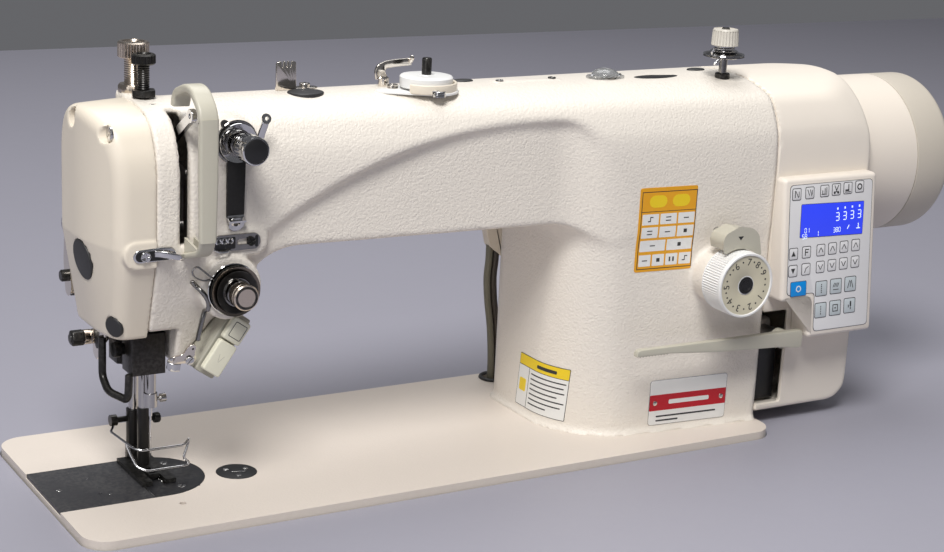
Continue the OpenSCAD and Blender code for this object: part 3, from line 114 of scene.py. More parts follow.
def make_camera():
    """Camera at the place and angle that the bed's edges, the needle line and the handwheel's circle give."""
    data = bpy.data.cameras.new("camera")
    cam = bpy.data.objects.new("camera", data)
    SCENE.collection.objects.link(cam)
    data.sensor_width = 36.0
    data.lens = 71.83
    data.clip_start, data.clip_end = 0.05, 20
    right, down = (0.86455, -0.50041, 0.04635), (-0.09327, -0.2504, -0.96364)
    ahead = (0.49382, 0.82879, -0.26316)
    turn = Matrix([(right[i], -down[i], -ahead[i]) for i in range(3)]).to_quaternion().normalized()
    cam.rotation_mode = "QUATERNION"
    cam.rotation_quaternion = turn
    cam.location = (-0.55087, -1.00638, (421.0 + BED) / 1000)
    SCENE.camera = cam


make_camera()

# -------------------- numpy surface tools


def unit(v):
    """Vectors scaled to length one: each is divided by its length."""
    v = np.asarray(v, float)
    return v / np.maximum(np.linalg.norm(v, axis=-1, keepdims=True), 1e-12)


def smax(a, b, k):
    """Larger of two distances, with a round of size k where they are close."""
    return np.maximum(a, b) + np.maximum(k - np.abs(a - b), 0) ** 2 / (4 * k)


def smin(a, b, k):
    """Smaller of two distances, with a fillet of size k where they are close."""
    return -smax(-a, -b, k)


def convex(u, v, points, k):
    """Distance outside a convex outline walked with its inside on the left; corners rounded by k."""
    d = None
    for (u0, v0), (u1, v1) in zip(points, points[1:]):
        du, dv = u1 - u0, v1 - v0
        e = ((u - u0) * dv - (v - v0) * du) / np.sqrt(du * du + dv * dv)
        d = e if d is None else smax(d, e, k)
    return d


def soft_line(points, r, n=4, closed=False):
    """Polyline whose corners are replaced by quadratic arcs that start r before the corner."""
    p = np.asarray(points, float)
    m = len(p)
    out = []
    for i in range(m):
        if not closed and i in (0, m - 1):
            out.append(p[i][None])
            continue
        a, c, b = p[i - 1], p[i], p[(i + 1) % m]
        la, lb = np.linalg.norm(a - c), np.linalg.norm(b - c)
        reach = min(r, 0.48 * la, 0.48 * lb)
        s, e = c + (a - c) * reach / la, c + (b - c) * reach / lb
        t = np.linspace(0, 1, n + 1)[:, None]
        out.append((1 - t) ** 2 * s + 2 * t * (1 - t) * c + t * t * e)
    return np.concatenate(out)


def rounded_box(w, h, r, n=5, centre=(0, 0)):
    """Outline of a w by h rectangle with corner radius r."""
    a = np.linspace(0, np.pi / 2, n + 1)
    arc = np.stack([np.cos(a), np.sin(a)], 1) * r
    parts = []
    for k, (sx, sy) in enumerate(((1, 1), (-1, 1), (-1, -1), (1, -1))):
        c, s = math.cos(k * math.pi / 2), math.sin(k * math.pi / 2)
        parts.append(arc @ np.array([[c, s], [-s, c]]) + (sx * (w / 2 - r), sy * (h / 2 - r)))
    return np.concatenate(parts) + centre


def disc(r, n=48, centre=(0, 0)):
    """Circle of radius r as n points, each at r times the cosine and the sine of its angle."""
    a = np.arange(n) * 2 * np.pi / n
    return np.stack([r * np.cos(a), r * np.sin(a)], 1) + centre


def rolled(outline, angle):
    """Outline turned anticlockwise by an angle about its origin."""
    c, s = math.cos(angle), math.sin(angle)
    return outline @ np.array([[c, s], [-s, c]])


def tangents(path, closed):
    """Directions along a path: at each point the step from the point before it to the point after it."""
    if closed:
        return unit(np.roll(path, -1, 0) - np.roll(path, 1, 0))
    return unit(np.gradient(path, axis=0))


def frame_of(normal, up=UP):
    """Right, up and outward directions of a flat face."""
    n = unit(normal)
    u = unit(np.cross(up, n))
    return u, np.cross(n, u), n


class Piece:
    """Gathers surfaces in millimetres and turns them into one object of the machine."""

    def __init__(self, name, body="frame"):
        self.name, self.body, self.parts, self.mats = name, body, [], []

    def _mat(self, material):
        """Index of a finish in the piece, which adds it when it is new."""
        if material not in self.mats:
            self.mats.append(material)
        return self.mats.index(material)

    def faces(self, verts, faces, material):
        """Adds faces over a list of points."""
        self.parts.append((np.asarray(verts, float).reshape(-1, 3), faces, self._mat(material)))
        return self

    def grid(self, p, material, wrap_u=False, wrap_v=True, caps=True):
        """Surface through an nu by nv net of points; the ends across u are closed with flat caps."""
        nu, nv = p.shape[:2]
        i, j = np.meshgrid(np.arange(nu - (not wrap_u)), np.arange(nv - (not wrap_v)), indexing="ij")
        i2, j2 = (i + 1) % nu, (j + 1) % nv
        quads = np.stack([i * nv + j, i2 * nv + j, i2 * nv + j2, i * nv + j2], -1).reshape(-1, 4)
        faces = [quads]
        if caps and not wrap_u and wrap_v:
            faces += [np.arange(nv)[None], ((nu - 1) * nv + np.arange(nv))[::-1][None]]
        return self.faces(p.reshape(-1, 3), faces, material)

    def turned(self, profile, centre, axis, material, turns=48, ripple=None, wrap=False):
        """(radius, height) pairs carried round an axis; ripple(angle, height) scales the radius."""
        profile = np.asarray(profile, float)
        u, v, n = frame_of(axis, UP if abs(unit(axis)[2]) < 0.9 else REAR)
        a = np.arange(turns) * 2 * np.pi / turns
        r = np.repeat(np.maximum(profile[:, :1], 0.02), turns, 1)
        if ripple is not None:
            r = r * ripple(a[None, :], profile[:, 1:2])
        ring = np.cos(a)[:, None] * u + np.sin(a)[:, None] * v
        p = np.asarray(centre, float) + r[..., None] * ring[None] + profile[:, 1][:, None, None] * n
        return self.grid(p[:, ::-1], material, wrap_u=wrap)

    def slab(self, outline, thick, centre, normal, material, soft=0.4, up=UP, back=0.0, steps=3, roll=0.0):
        """Flat outline, anticlockwise from outside, raised along the normal, its front edge rounded."""
        o = np.asarray(outline, float)
        if roll:
            o = rolled(o, roll)
        before, after = unit(o - np.roll(o, 1, 0)), unit(np.roll(o, -1, 0) - o)
        t = before + after
        inward = np.stack([-t[:, 1], t[:, 0]], 1)
        inward = unit(inward) / np.maximum(np.sqrt((1 + (before * after).sum(1)) / 2), 0.5)[:, None]
        a = np.linspace(0, np.pi / 2, steps + 1)
        levels = [(back * (1 - math.sin(x)), back * (1 - math.cos(x))) for x in a] if back else [(0.0, 0.0)]
        levels += [(soft * (1 - math.cos(x)), thick - soft * (1 - math.sin(x))) for x in a]
        u, v, n = frame_of(normal, up)
        rows = []
        for inset, height in levels:
            q = o + inward * inset
            rows.append(np.asarray(centre, float) + q[:, :1] * u + q[:, 1:] * v + height * n)
        return self.grid(np.stack(rows)[:, ::-1], material)

    def sweep(self, path, outline, material, ref=UP, scale=None, closed=False):
        """Closed outline carried along a path; ref is kept at the outline's second direction."""
        path = np.asarray(path, float)
        t = tangents(path, closed)
        side = unit(np.cross(t, np.broadcast_to(np.asarray(ref, float), t.shape)))
        up = np.cross(side, t)
        o = np.asarray(outline, float)
        s = np.ones(len(path)) if scale is None else np.asarray(scale, float)
        p = path[:, None] + s[:, None, None] * (o[None, :, :1] * side[:, None] + o[None, :, 1:] * up[:, None])
        return self.grid(p[:, ::-1], material, wrap_u=closed)

    def wire(self, path, radius, material, sides=10, closed=False, smooth=0, tip=True):
        """Round wire along a path, its normal carried on without twist, its ends drawn in."""
        path = np.asarray(path, float)
        if smooth:
            path = curve(path, smooth, closed)
        t = tangents(path, closed)
        u = np.zeros_like(t)
        first = np.cross(t[0], (0.31, 0.2, 0.93))
        u[0] = unit(first)
        for i in range(1, len(t)):
            w = u[i - 1] - (u[i - 1] @ t[i]) * t[i]
            u[i] = w / np.linalg.norm(w)
        v = np.cross(t, u)
        r = np.broadcast_to(np.asarray(radius, float), (len(path),)).copy()
        if tip and not closed:
            path = np.concatenate([path[:1], path, path[-1:]])
            u, v = (np.concatenate([q[:1], q, q[-1:]]) for q in (u, v))
            path[0] -= t[0] * r[0] * 0.35
            path[-1] += t[-1] * r[-1] * 0.35
            r = np.concatenate([r[:1] * 0.6, r, r[-1:] * 0.6])
        a = np.arange(sides) * 2 * np.pi / sides
        ring = np.cos(a)[None, :, None] * u[:, None] + np.sin(a)[None, :, None] * v[:, None]
        p = path[:, None] + r[:, None, None] * ring
        return self.grid(p[:, ::-1], material, wrap_u=closed)

    def letters(self, text, size, centre, normal, material, thick=0.12, up=UP, roll=0.0):
        """Plain characters from the built-in font, as thin raised shapes centred on a point."""
        data = bpy.data.curves.new("mark", "FONT")
        data.body, data.size, data.extrude = text, 1.0, 0.0
        data.align_x, data.align_y, data.resolution_u = "CENTER", "CENTER", 3
        ob = bpy.data.objects.new("mark", data)
        SCENE.collection.objects.link(ob)
        bpy.context.view_layer.update()
        mesh = bpy.data.meshes.new_from_object(ob.evaluated_get(bpy.context.evaluated_depsgraph_get()))
        co = np.array([q.co for q in mesh.vertices], float)[:, :2] * size
        polys = [list(p.vertices) for p in mesh.polygons]
        bpy.data.objects.remove(ob)
        co -= (co.min(0) + co.max(0)) / 2
        co = rolled(co, roll)
        u, v, n = frame_of(normal, up)
        base = np.asarray(centre, float) + co[:, :1] * u + co[:, 1:] * v
        k = len(co)
        edges = {}
        for p in polys:
            for a, b in zip(p, p[1:] + p[:1]):
                edges[(a, b)] = edges.get((a, b), 0) + 1
        rim = [(a, b) for a, b in edges if (b, a) not in edges]
        faces = [[i + k for i in p] for p in polys] + [p[::-1] for p in polys]
        faces += [[a, b, b + k, a + k] for a, b in rim]
        return self.faces(np.concatenate([base, base + thick * n]), faces, material)

    def make(self, *stands_for, slot=None, sharp=38, outward=True):
        """One object from the gathered surfaces: metres, normals outward, then its body and the nodes it
        stands for; slot is not used.
        """
        mesh = bpy.data.meshes.new(self.name)
        verts, faces, mats, start = [], [], [], 0
        for v, fs, m in self.parts:
            verts.append(v)
            count = 0
            for f in fs if isinstance(fs, list) and len(fs) and isinstance(fs[0], np.ndarray) else [fs]:
                numbers = isinstance(f, np.ndarray)
                rows = (f + start).tolist() if numbers else [[i + start for i in q] for q in f]
                faces += rows
                count += len(rows)
            mats += [m] * count
            start += len(v)
        if verts:
            mesh.from_pydata(((np.concatenate(verts) + (0, 0, BED)) / 1000).tolist(), [], faces)
            mesh.polygons.foreach_set("material_index", np.array(mats, np.int32))
        for m in self.mats:
            mesh.materials.append(MATERIALS[m])
        ob = bpy.data.objects.new(self.name, mesh)
        SCENE.collection.objects.link(ob)
        if outward:
            bm = bmesh.new()
            bm.from_mesh(mesh)
            bmesh.ops.remove_doubles(bm, verts=bm.verts, dist=1e-7)
            bmesh.ops.recalc_face_normals(bm, faces=bm.faces)
            bm.to_mesh(mesh)
            bm.free()
        mesh.validate()
        mesh.shade_smooth()
        if sharp is not None:
            mesh.set_sharp_from_angle(angle=math.radians(sharp))
        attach(ob, self.body)
        if stands_for:
            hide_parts(*stands_for)
        return ob


def curve(points, per=6, closed=False):
    """Smooth line through points (Catmull-Rom): each stretch is a cubic set by its two neighbours."""
    p = np.asarray(points, float)
    if closed:
        q = np.concatenate([p[-1:], p, p[:2]])
    else:
        q = np.concatenate([2 * p[:1] - p[1:2], p, 2 * p[-1:] - p[-2:-1]])
    t = (np.arange(per) / per)[None, :, None]
    a, b, c, d = (q[k : len(q) - 3 + k][:, None] for k in range(4))
    out = 0.5 * (2 * b + (c - a) * t + (2 * a - 5 * b + 4 * c - d) * t**2 + (3 * b - a - 3 * c + d) * t**3)
    out = out.reshape(-1, 3)
    return out if closed else np.concatenate([out, p[-1:]])


def softened(node, body, material, bevel=0.5, angle=40, name=None):
    """Copy of a CAD node with its seams merged and its edges bevelled, standing for that node."""
    mesh = NODES[node].data.copy()
    mesh.materials.clear()
    mesh.materials.append(MATERIALS[material])
    ob = bpy.data.objects.new(name or node + "_finished", mesh)
    SCENE.collection.objects.link(ob)
    bm = bmesh.new()
    bm.from_mesh(mesh)
    bmesh.ops.remove_doubles(bm, verts=bm.verts, dist=2e-5)
    bmesh.ops.dissolve_limit(bm, angle_limit=math.radians(1.5), verts=bm.verts, edges=bm.edges)
    for f in bm.faces:
        f.material_index = 0
        f.smooth = True
    bm.to_mesh(mesh)
    bm.free()
    if "custom_normal" in mesh.attributes:
        mesh.attributes.remove(mesh.attributes["custom_normal"])
    mod = ob.modifiers.new("edges", "BEVEL")
    mod.width, mod.segments, mod.limit_method = bevel / 1000, 2, "ANGLE"
    mod.angle_limit, mod.use_clamp_overlap, mod.harden_normals = math.radians(angle), True, False
    mesh.set_sharp_from_angle(angle=math.radians(50))
    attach(ob, body)
    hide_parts(node)
    return ob


def skin(low, high, step, field):
    """Mesh of the zero surface of field(x, y, z): one vertex in each cell that it crosses, at the mean of the
    places where it crosses the cell's edges, and one quad round each grid edge that it crosses."""
    low, high = np.asarray(low, float) - step, np.asarray(high, float) + step
    n = np.ceil((high - low) / step).astype(int) + 1
    axes = [low[k] + step * np.arange(n[k]) for k in range(3)]
    f = field(axes[0][:, None, None], axes[1][None, :, None], axes[2][None, None, :]).astype(np.float32)
    f = np.where(np.abs(f) < 1e-5, 1e-5, f)
    inside = f < 0
    corner = [(a, b, c) for a in (0, 1) for b in (0, 1) for c in (0, 1)]
    cut = lambda a, o: a[o[0] : n[0] - 1 + o[0], o[1] : n[1] - 1 + o[1], o[2] : n[2] - 1 + o[2]]
    total = sum(cut(inside, o).astype(np.int8) for o in corner)
    cells = np.argwhere((total > 0) & (total < 8))
    place = np.zeros((len(cells), 3))
    count = np.zeros(len(cells))
    for o in corner:
        for k in range(3):
            if o[k]:
                continue
            e = list(o)
            e[k] = 1
            a = f[tuple((cells + o).T)]
            b = f[tuple((cells + e).T)]
            hit = (a < 0) != (b < 0)
            t = np.where(hit, a / np.where(hit, a - b, 1), 0)
            p = cells + np.array(o, float)
            p[:, k] += t
            place[hit] += p[hit]
            count[hit] += 1
    place = low + step * place / count[:, None]
    index = np.full(n - 1, -1, np.int64)
    index[tuple(cells.T)] = np.arange(len(cells))
    quads = []
    for k in range(3):
        j, m = (k + 1) % 3, (k + 2) % 3
        lo = [slice(1, -1)] * 3
        hi = [slice(1, -1)] * 3
        lo[k], hi[k] = slice(0, -1), slice(1, None)
        a, b = inside[tuple(lo)], inside[tuple(hi)]
        where = np.argwhere(a != b)
        if not len(where):
            continue
        first = a[tuple(where.T)]
        base = where.copy()
        base[:, j] += 1
        base[:, m] += 1
        ring = []
        for dj, dm in ((0, 0), (-1, 0), (-1, -1), (0, -1)):
            q = base.copy()
            q[:, j] += dj
            q[:, m] += dm
            ring.append(index[tuple(q.T)])
        ring = np.stack(ring, 1)
        ring[~first] = ring[~first][:, ::-1]
        quads.append(ring)
    return place, np.concatenate(quads)


# -------------------- finishes

MATERIALS = {}


class Net:
    """Short way to add shader nodes to a tree."""

    def __init__(self, tree):
        self.tree = tree

    def add(self, kind, inputs=(), out=0, **settings):
        """Adds a node, sets or links its inputs, and returns one output."""
        node = self.tree.nodes.new("ShaderNode" + kind)
        for key, value in settings.items():
            setattr(node, key, value)
        for key, value in dict(inputs).items():
            if isinstance(value, bpy.types.NodeSocket):
                self.tree.links.new(value, node.inputs[key])
            else:
                node.inputs[key].default_value = value
        return node.outputs[out]

    def math(self, operation, a, b=0.0, clamp=False):
        """One step of arithmetic on two values or outputs."""
        return self.add("Math", {0: a, 1: b}, operation=operation, use_clamp=clamp)


def effect(name, inputs, output, fill):
    """Node group with named inputs and one output that changes over the surface; fill makes it."""
    tree = bpy.data.node_groups.new(name, "ShaderNodeTree")
    kinds = {float: "NodeSocketFloat", tuple: "NodeSocketColor"}
    for key, value in inputs.items():
        tree.interface.new_socket(key, in_out="INPUT", socket_type=kinds[type(value)]).default_value = value
    tree.interface.new_socket(output[0], in_out="OUTPUT", socket_type=kinds[output[1]])
    start, end = tree.nodes.new("NodeGroupInput"), tree.nodes.new("NodeGroupOutput")
    tree.links.new(fill(Net(tree), start.outputs), end.inputs[0])
    return tree


def noise(net, scale, detail=3.0, rough=0.5, distort=0.0, stretch=None):
    """Noise on Object coordinates; stretch scales the three directions."""
    where = net.add("TexCoord", out=3)
    if stretch is not None:
        where = net.add("Mapping", {"Vector": where, "Scale": stretch})
    values = {"Vector": where, "Scale": scale, "Detail": detail, "Roughness": rough, "Distortion": distort}
    return net.add("TexNoise", values)


def centred(net, value, amount):
    """1 + amount * 2 * (value - 0.5)."""
    swing = net.math("MULTIPLY", net.math("SUBTRACT", value, 0.5), net.math("MULTIPLY", amount, 2.0))
    return net.math("ADD", swing, 1.0)


def fill_mottle(net, i):
    """Colour times slow and fine noise: batches of pigment and faint handling marks."""
    slow = noise(net, i["Broad"], 2.0)
    fine = noise(net, net.math("MULTIPLY", i["Broad"], 14.0), 3.0, 0.6)
    mixed = net.math("ADD", net.math("MULTIPLY", slow, 0.65), net.math("MULTIPLY", fine, 0.35))
    return net.add("HueSaturation", {"Color": i["Colour"], "Value": centred(net, mixed, i["Amount"])})


def fill_sheen(net, i):
    """Roughness times smudges and fine rubbed streaks."""
    smudge = noise(net, 55.0, 4.0, 0.62, 0.4)
    rub = noise(net, 900.0, 2.0, 0.5, 0.0, (1.0, 0.25, 0.25))
    mixed = net.math("ADD", net.math("MULTIPLY", smudge, 0.6), net.math("MULTIPLY", rub, 0.4))
    return net.math("MULTIPLY", i["Roughness"], centred(net, mixed, i["Amount"]), clamp=True)


def fill_wrinkle(net, i):
    """Height of wrinkle paint: rounded cells of a warped Voronoi pattern, broken up by noise."""
    where = net.add("TexCoord", out=3)
    coarse = net.math("MULTIPLY", i["Scale"], 0.6)
    warp = net.add("TexNoise", {"Vector": where, "Scale": coarse, "Detail": 2.0}, out=1)
    shift = net.add("VectorMath", {0: warp, "Scale": 0.0022}, operation="SCALE")
    moved = net.add("VectorMath", {0: where, 1: shift}, operation="ADD")
    values = {"Vector": moved, "Scale": i["Scale"], "Smoothness": 0.9}
    cell = net.add("TexVoronoi", values, feature="SMOOTH_F1", distance="EUCLIDEAN")
    fine = noise(net, net.math("MULTIPLY", i["Scale"], 1.3), 3.0, 0.55, 0.6)
    bumps = net.math("MULTIPLY", net.math("SUBTRACT", 1.0, cell), 0.55)
    return net.math("ADD", bumps, net.math("MULTIPLY", fine, 0.6))


def fill_grain(net, i):
    """Height of fine moulded or ground grain; Stretch draws it out along one direction."""
    spread = net.add("CombineXYZ", {0: 1.0, 1: 1.0, 2: i["Stretch"]})
    where = net.add("VectorMath", {0: net.add("TexCoord", out=3), 1: spread}, operation="MULTIPLY")
    return net.add("TexNoise", {"Vector": where, "Scale": i["Scale"], "Detail": 3.0, "Roughness": 0.6})


def fill_worn(net, i):
    """Mask that is 1 on convex edges, broken up by noise: where a finish is rubbed through."""
    edge = net.add("NewGeometry", out=7)
    ridge = net.add("MapRange", {"Value": edge, "From Min": 0.52, "From Max": 0.62})
    patch = net.add("MapRange", {"Value": noise(net, 420.0, 3.0, 0.6), "From Min": 0.42, "From Max": 0.6})
    return net.math("MULTIPLY", net.math("MULTIPLY", ridge, patch), i["Amount"], clamp=True)


def fill_dust(net, i):
    """Mask of sparse lint specks."""
    speck = net.add("TexVoronoi", {"Vector": net.add("TexCoord", out=3), "Scale": i["Scale"]}, feature="F1")
    spot = net.add("MapRange", {"Value": speck, "From Min": 0.02, "From Max": 0.07, "To Min": 1.0,
                       "To Max": 0.0})
    few = net.add("MapRange", {"Value": noise(net, 130.0, 1.0), "From Min": 0.5, "From Max": 0.62})
    return net.math("MULTIPLY", net.math("MULTIPLY", spot, few), i["Amount"], clamp=True)


WHITE = (1.0, 1.0, 1.0, 1.0)
MOTTLE = effect("mottle", {"Colour": WHITE, "Amount": 0.03, "Broad": 12.0}, ("Colour", tuple), fill_mottle)
SHEEN = effect("sheen", {"Roughness": 0.4, "Amount": 0.15}, ("Roughness", float), fill_sheen)
WRINKLE = effect("wrinkle", {"Scale": 420.0}, ("Height", float), fill_wrinkle)
GRAIN = effect("grain", {"Scale": 1500.0, "Stretch": 1.0}, ("Height", float), fill_grain)
WORN = effect("worn", {"Amount": 0.5}, ("Mask", float), fill_worn)
DUST = effect("dust", {"Scale": 160.0, "Amount": 0.5}, ("Mask", float), fill_dust)


def placed(net, tree, **values):
    """Output of a node group placed in a material, its inputs set or linked by name."""
    node = net.tree.nodes.new("ShaderNodeGroup")
    node.node_tree = tree
    for key, value in values.items():
        if isinstance(value, bpy.types.NodeSocket):
            net.tree.links.new(value, node.inputs[key])
        else:
            node.inputs[key].default_value = value
    return node.outputs[0]


def blended(net, mask, a, b):
    """Colour a where the mask is 0 and b where it is 1."""
    node = net.tree.nodes.new("ShaderNodeMix")
    node.data_type = "RGBA"
    for socket, value in ((node.inputs[0], mask), (node.inputs[6], a), (node.inputs[7], b)):
        if isinstance(value, bpy.types.NodeSocket):
            net.tree.links.new(value, socket)
        else:
            socket.default_value = value
    return node.outputs[2]


def finish(name, colour, rough, metal=0.0, vary=0.03, broad=12.0, rub=0.15, relief=None, worn=0.0,
           bare=(0.5, 0.48, 0.45), dust=0.0, shine=None, glow=None, clear=0.0):
    """Material of one finish: relief is (effect, scale, height in mm, stretch), shine (coat, roughness)."""
    mat = bpy.data.materials.new(name)
    mat.use_nodes = True
    mat.diffuse_color = (*colour, 1.0)
    net = Net(mat.node_tree)
    shader = next(n for n in mat.node_tree.nodes if n.type == "BSDF_PRINCIPLED")
    link = mat.node_tree.links.new
    tint = placed(net, MOTTLE, Colour=(*colour, 1.0), Amount=vary, Broad=broad)
    rough_out = placed(net, SHEEN, Roughness=rough, Amount=rub)
    shader.inputs["Metallic"].default_value = metal
    if worn:
        mask = placed(net, WORN, Amount=worn)
        tint = blended(net, mask, tint, (*bare, 1.0))
        link(net.math("ADD", net.math("MULTIPLY", mask, 1.0 - metal), metal), shader.inputs["Metallic"])
    if dust:
        tint = blended(net, placed(net, DUST, Amount=dust), tint, (0.62, 0.6, 0.56, 1.0))
    link(tint, shader.inputs["Base Color"])
    link(rough_out, shader.inputs["Roughness"])
    if relief:
        tree, scale, height, stretch = relief
        values = {"Scale": scale} if tree is WRINKLE else {"Scale": scale, "Stretch": stretch}
        bump = mat.node_tree.nodes.new("ShaderNodeBump")
        bump.inputs["Strength"].default_value = 1.0
        bump.inputs["Distance"].default_value = height / 1000
        link(placed(net, tree, **values), bump.inputs["Height"])
        link(bump.outputs[0], shader.inputs["Normal"])
    if shine:
        shader.inputs["Coat Weight"].default_value, shader.inputs["Coat Roughness"].default_value = shine
    if glow:
        link(placed(net, MOTTLE, Colour=(*glow[0], 1.0), Amount=0.06, Broad=60.0),
             shader.inputs["Emission Color"])
        shader.inputs["Emission Strength"].default_value = glow[1]
    if clear:
        shader.inputs["Transmission Weight"].default_value = clear
        shader.inputs["IOR"].default_value = 1.46
    MATERIALS[name] = mat


FINE = (GRAIN, 1800.0, 0.02, 1.0)
GROUND = (GRAIN, 2600.0, 0.015, 0.08)
SMOOTH = (GRAIN, 500.0, 0.006, 1.0)
CAST = (0.82, 0.765, 0.69)
METAL = dict(metal=1.0, relief=GROUND, rub=0.3)
PLATED = dict(metal=1.0, relief=SMOOTH, rub=0.35)
BLACKED = dict(metal=0.3, relief=(GRAIN, 2200.0, 0.02, 1.0), vary=0.06, dust=0.25, worn=0.15)
JACKET = dict(relief=(GRAIN, 900.0, 0.03, 0.3), vary=0.05)
LABEL = dict(relief=FINE, shine=(0.3, 0.15))
# name: colour, roughness, and what else the finish shows
for name, colour, rough, more in (
    ("casting_paint", CAST, 0.36, dict(relief=(WRINKLE, 640.0, 0.5, 1.0), vary=0.025)),
    ("bed_paint", (0.70, 0.63, 0.565), 0.40, dict(relief=(WRINKLE, 620.0, 0.12, 1.0), vary=0.03, dust=0.15)),
    ("cover_plastic", (0.79, 0.715, 0.60), 0.34, dict(relief=(GRAIN, 900.0, 0.012, 1.0), vary=0.02)),
    ("motor_plastic", (0.86, 0.79, 0.70), 0.42, dict(relief=(GRAIN, 1400.0, 0.02, 1.0), vary=0.02)),
    ("motor_paint", (0.84, 0.765, 0.675), 0.40, dict(relief=FINE, vary=0.02)),
    ("wheel_plastic", (0.58, 0.53, 0.455), 0.45, dict(relief=FINE, vary=0.03)),
    ("guard_plastic", (0.53, 0.505, 0.42), 0.38, dict(relief=FINE, vary=0.03)),
    ("panel_housing", (0.84, 0.77, 0.69), 0.36, dict(relief=FINE, vary=0.02)),
    ("panel_film", (0.78, 0.775, 0.785), 0.30, dict(relief=(GRAIN, 2400.0, 0.008, 1.0), vary=0.015)),
    ("key_film", (0.56, 0.615, 0.64), 0.30, dict(relief=(GRAIN, 2400.0, 0.008, 1.0), vary=0.02)),
    ("key_outline", (0.06, 0.06, 0.065), 0.4, dict(relief=FINE)),
    ("blue_key", (0.0, 0.28, 0.78), 0.30, dict(relief=FINE, vary=0.03)),
    ("display", (0.02, 0.04, 0.45), 0.25,
     dict(vary=0.05, broad=30.0, glow=((0.03, 0.06, 1.0), 0.6), relief=FINE)),
    ("display_ink", (0.75, 0.85, 1.0), 0.4, dict(glow=((0.7, 0.82, 1.0), 0.6), relief=FINE)),
    ("dial_plastic", (0.64, 0.595, 0.45), 0.36, dict(relief=FINE, vary=0.02)),
    ("print_black", (0.03, 0.03, 0.03), 0.45, dict(relief=FINE)),
    ("black_plastic", (0.010, 0.010, 0.011), 0.40, dict(relief=FINE, vary=0.12)),
    ("black_steel", (0.020, 0.019, 0.018), 0.30, dict(metal=0.5, relief=GROUND, vary=0.1, worn=0.12)),
    ("oiled_black", (0.022, 0.019, 0.017), 0.32, dict(metal=0.4, relief=GROUND, vary=0.08, worn=0.08)),
    ("plate_black", (0.022, 0.022, 0.025), 0.36, BLACKED),
    ("slide_grey", (0.048, 0.048, 0.053), 0.42, BLACKED),
    ("bar_chrome", (0.50, 0.49, 0.485), 0.13, dict(METAL, vary=0.05)),
    ("chrome_dark", (0.24, 0.235, 0.23), 0.14, dict(PLATED, vary=0.06, worn=0.3)),
    ("nickel_bright", (0.74, 0.69, 0.63), 0.13, dict(PLATED, relief=(GRAIN, 600.0, 0.008, 1.0), vary=0.05)),
    ("chrome", (0.64, 0.64, 0.65), 0.10, dict(PLATED, vary=0.03)),
    ("steel", (0.60, 0.59, 0.58), 0.20, dict(METAL, vary=0.05)),
    ("inner_steel", (0.42, 0.41, 0.40), 0.32, dict(METAL, vary=0.08)),
    ("nickel", (0.62, 0.54, 0.46), 0.24, dict(METAL, vary=0.06)),
    ("brass", (0.22, 0.19, 0.16), 0.26, dict(METAL, vary=0.06)),
    ("bronze", (0.50, 0.33, 0.18), 0.32, dict(METAL, vary=0.06)),
    ("cast_iron", (0.16, 0.155, 0.15), 0.6, dict(metal=0.7, relief=(WRINKLE, 700.0, 0.15, 1.0), vary=0.1)),
    ("rubber", (0.024, 0.024, 0.025), 0.5, dict(relief=(GRAIN, 1400.0, 0.03, 1.0), vary=0.15)),
    ("lead_olive", (0.20, 0.19, 0.14), 0.42, JACKET),
    ("lead_brown", (0.055, 0.045, 0.036), 0.42, JACKET),
    ("white_plastic", (0.82, 0.82, 0.81), 0.32, dict(relief=FINE, vary=0.015)),
    ("ivory_plastic", (0.76, 0.74, 0.60), 0.34, dict(relief=FINE, vary=0.02)),
    ("switch_plastic", (0.40, 0.385, 0.32), 0.45, dict(relief=FINE, vary=0.04)),
    ("cap_plastic", (0.60, 0.565, 0.50), 0.42, dict(relief=FINE, vary=0.03)),
    ("sight_clear", (0.93, 0.94, 0.95), 0.04, dict(clear=0.85, vary=0.01, relief=(GRAIN, 300.0, 0.01, 1.0))),
    ("label_white", (0.82, 0.82, 0.80), 0.3, LABEL),
    ("label_red", (0.50, 0.003, 0.012), 0.3, dict(LABEL, vary=0.04)),
    ("label_orange", (0.80, 0.37, 0.008), 0.3, dict(LABEL, vary=0.02)),
    ("label_yellow", (0.86, 0.62, 0.01), 0.3, dict(LABEL, vary=0.02)),
):
    finish(name, colour, rough, **more)

# -------------------- leads under the arm

LEAD_ROUTE = [
    (96, 58, 104), (96, 58, 93), (97, 61, 80), (102, 67, 62), (108, 72, 42), (112, 75.5, 22), (113.5, 77, 7),
    (113.5, 77, -9), (113.5, 76, -17), (113.5, 72, -25), (113.5, 66, -29), (113.5, 58, -29),
]
LEAD_R, LEAD_SIDE = 2.4, 5.2


def make_leads():
    """Two jacketed leads, each a round tube carried along a smooth line through the route's points."""
    for k, material in enumerate(("lead_olive", "lead_brown")):
        line = curve(np.array(LEAD_ROUTE, float) + (k * LEAD_SIDE, 0, 0), 3)
        piece = Piece(f"lead_{k + 1}").wire(line, LEAD_R, material, sides=16, tip=False)
        ob = piece.make("lead_pair", slot="lead_jacket", sharp=60)


make_leads()

# -------------------- casting


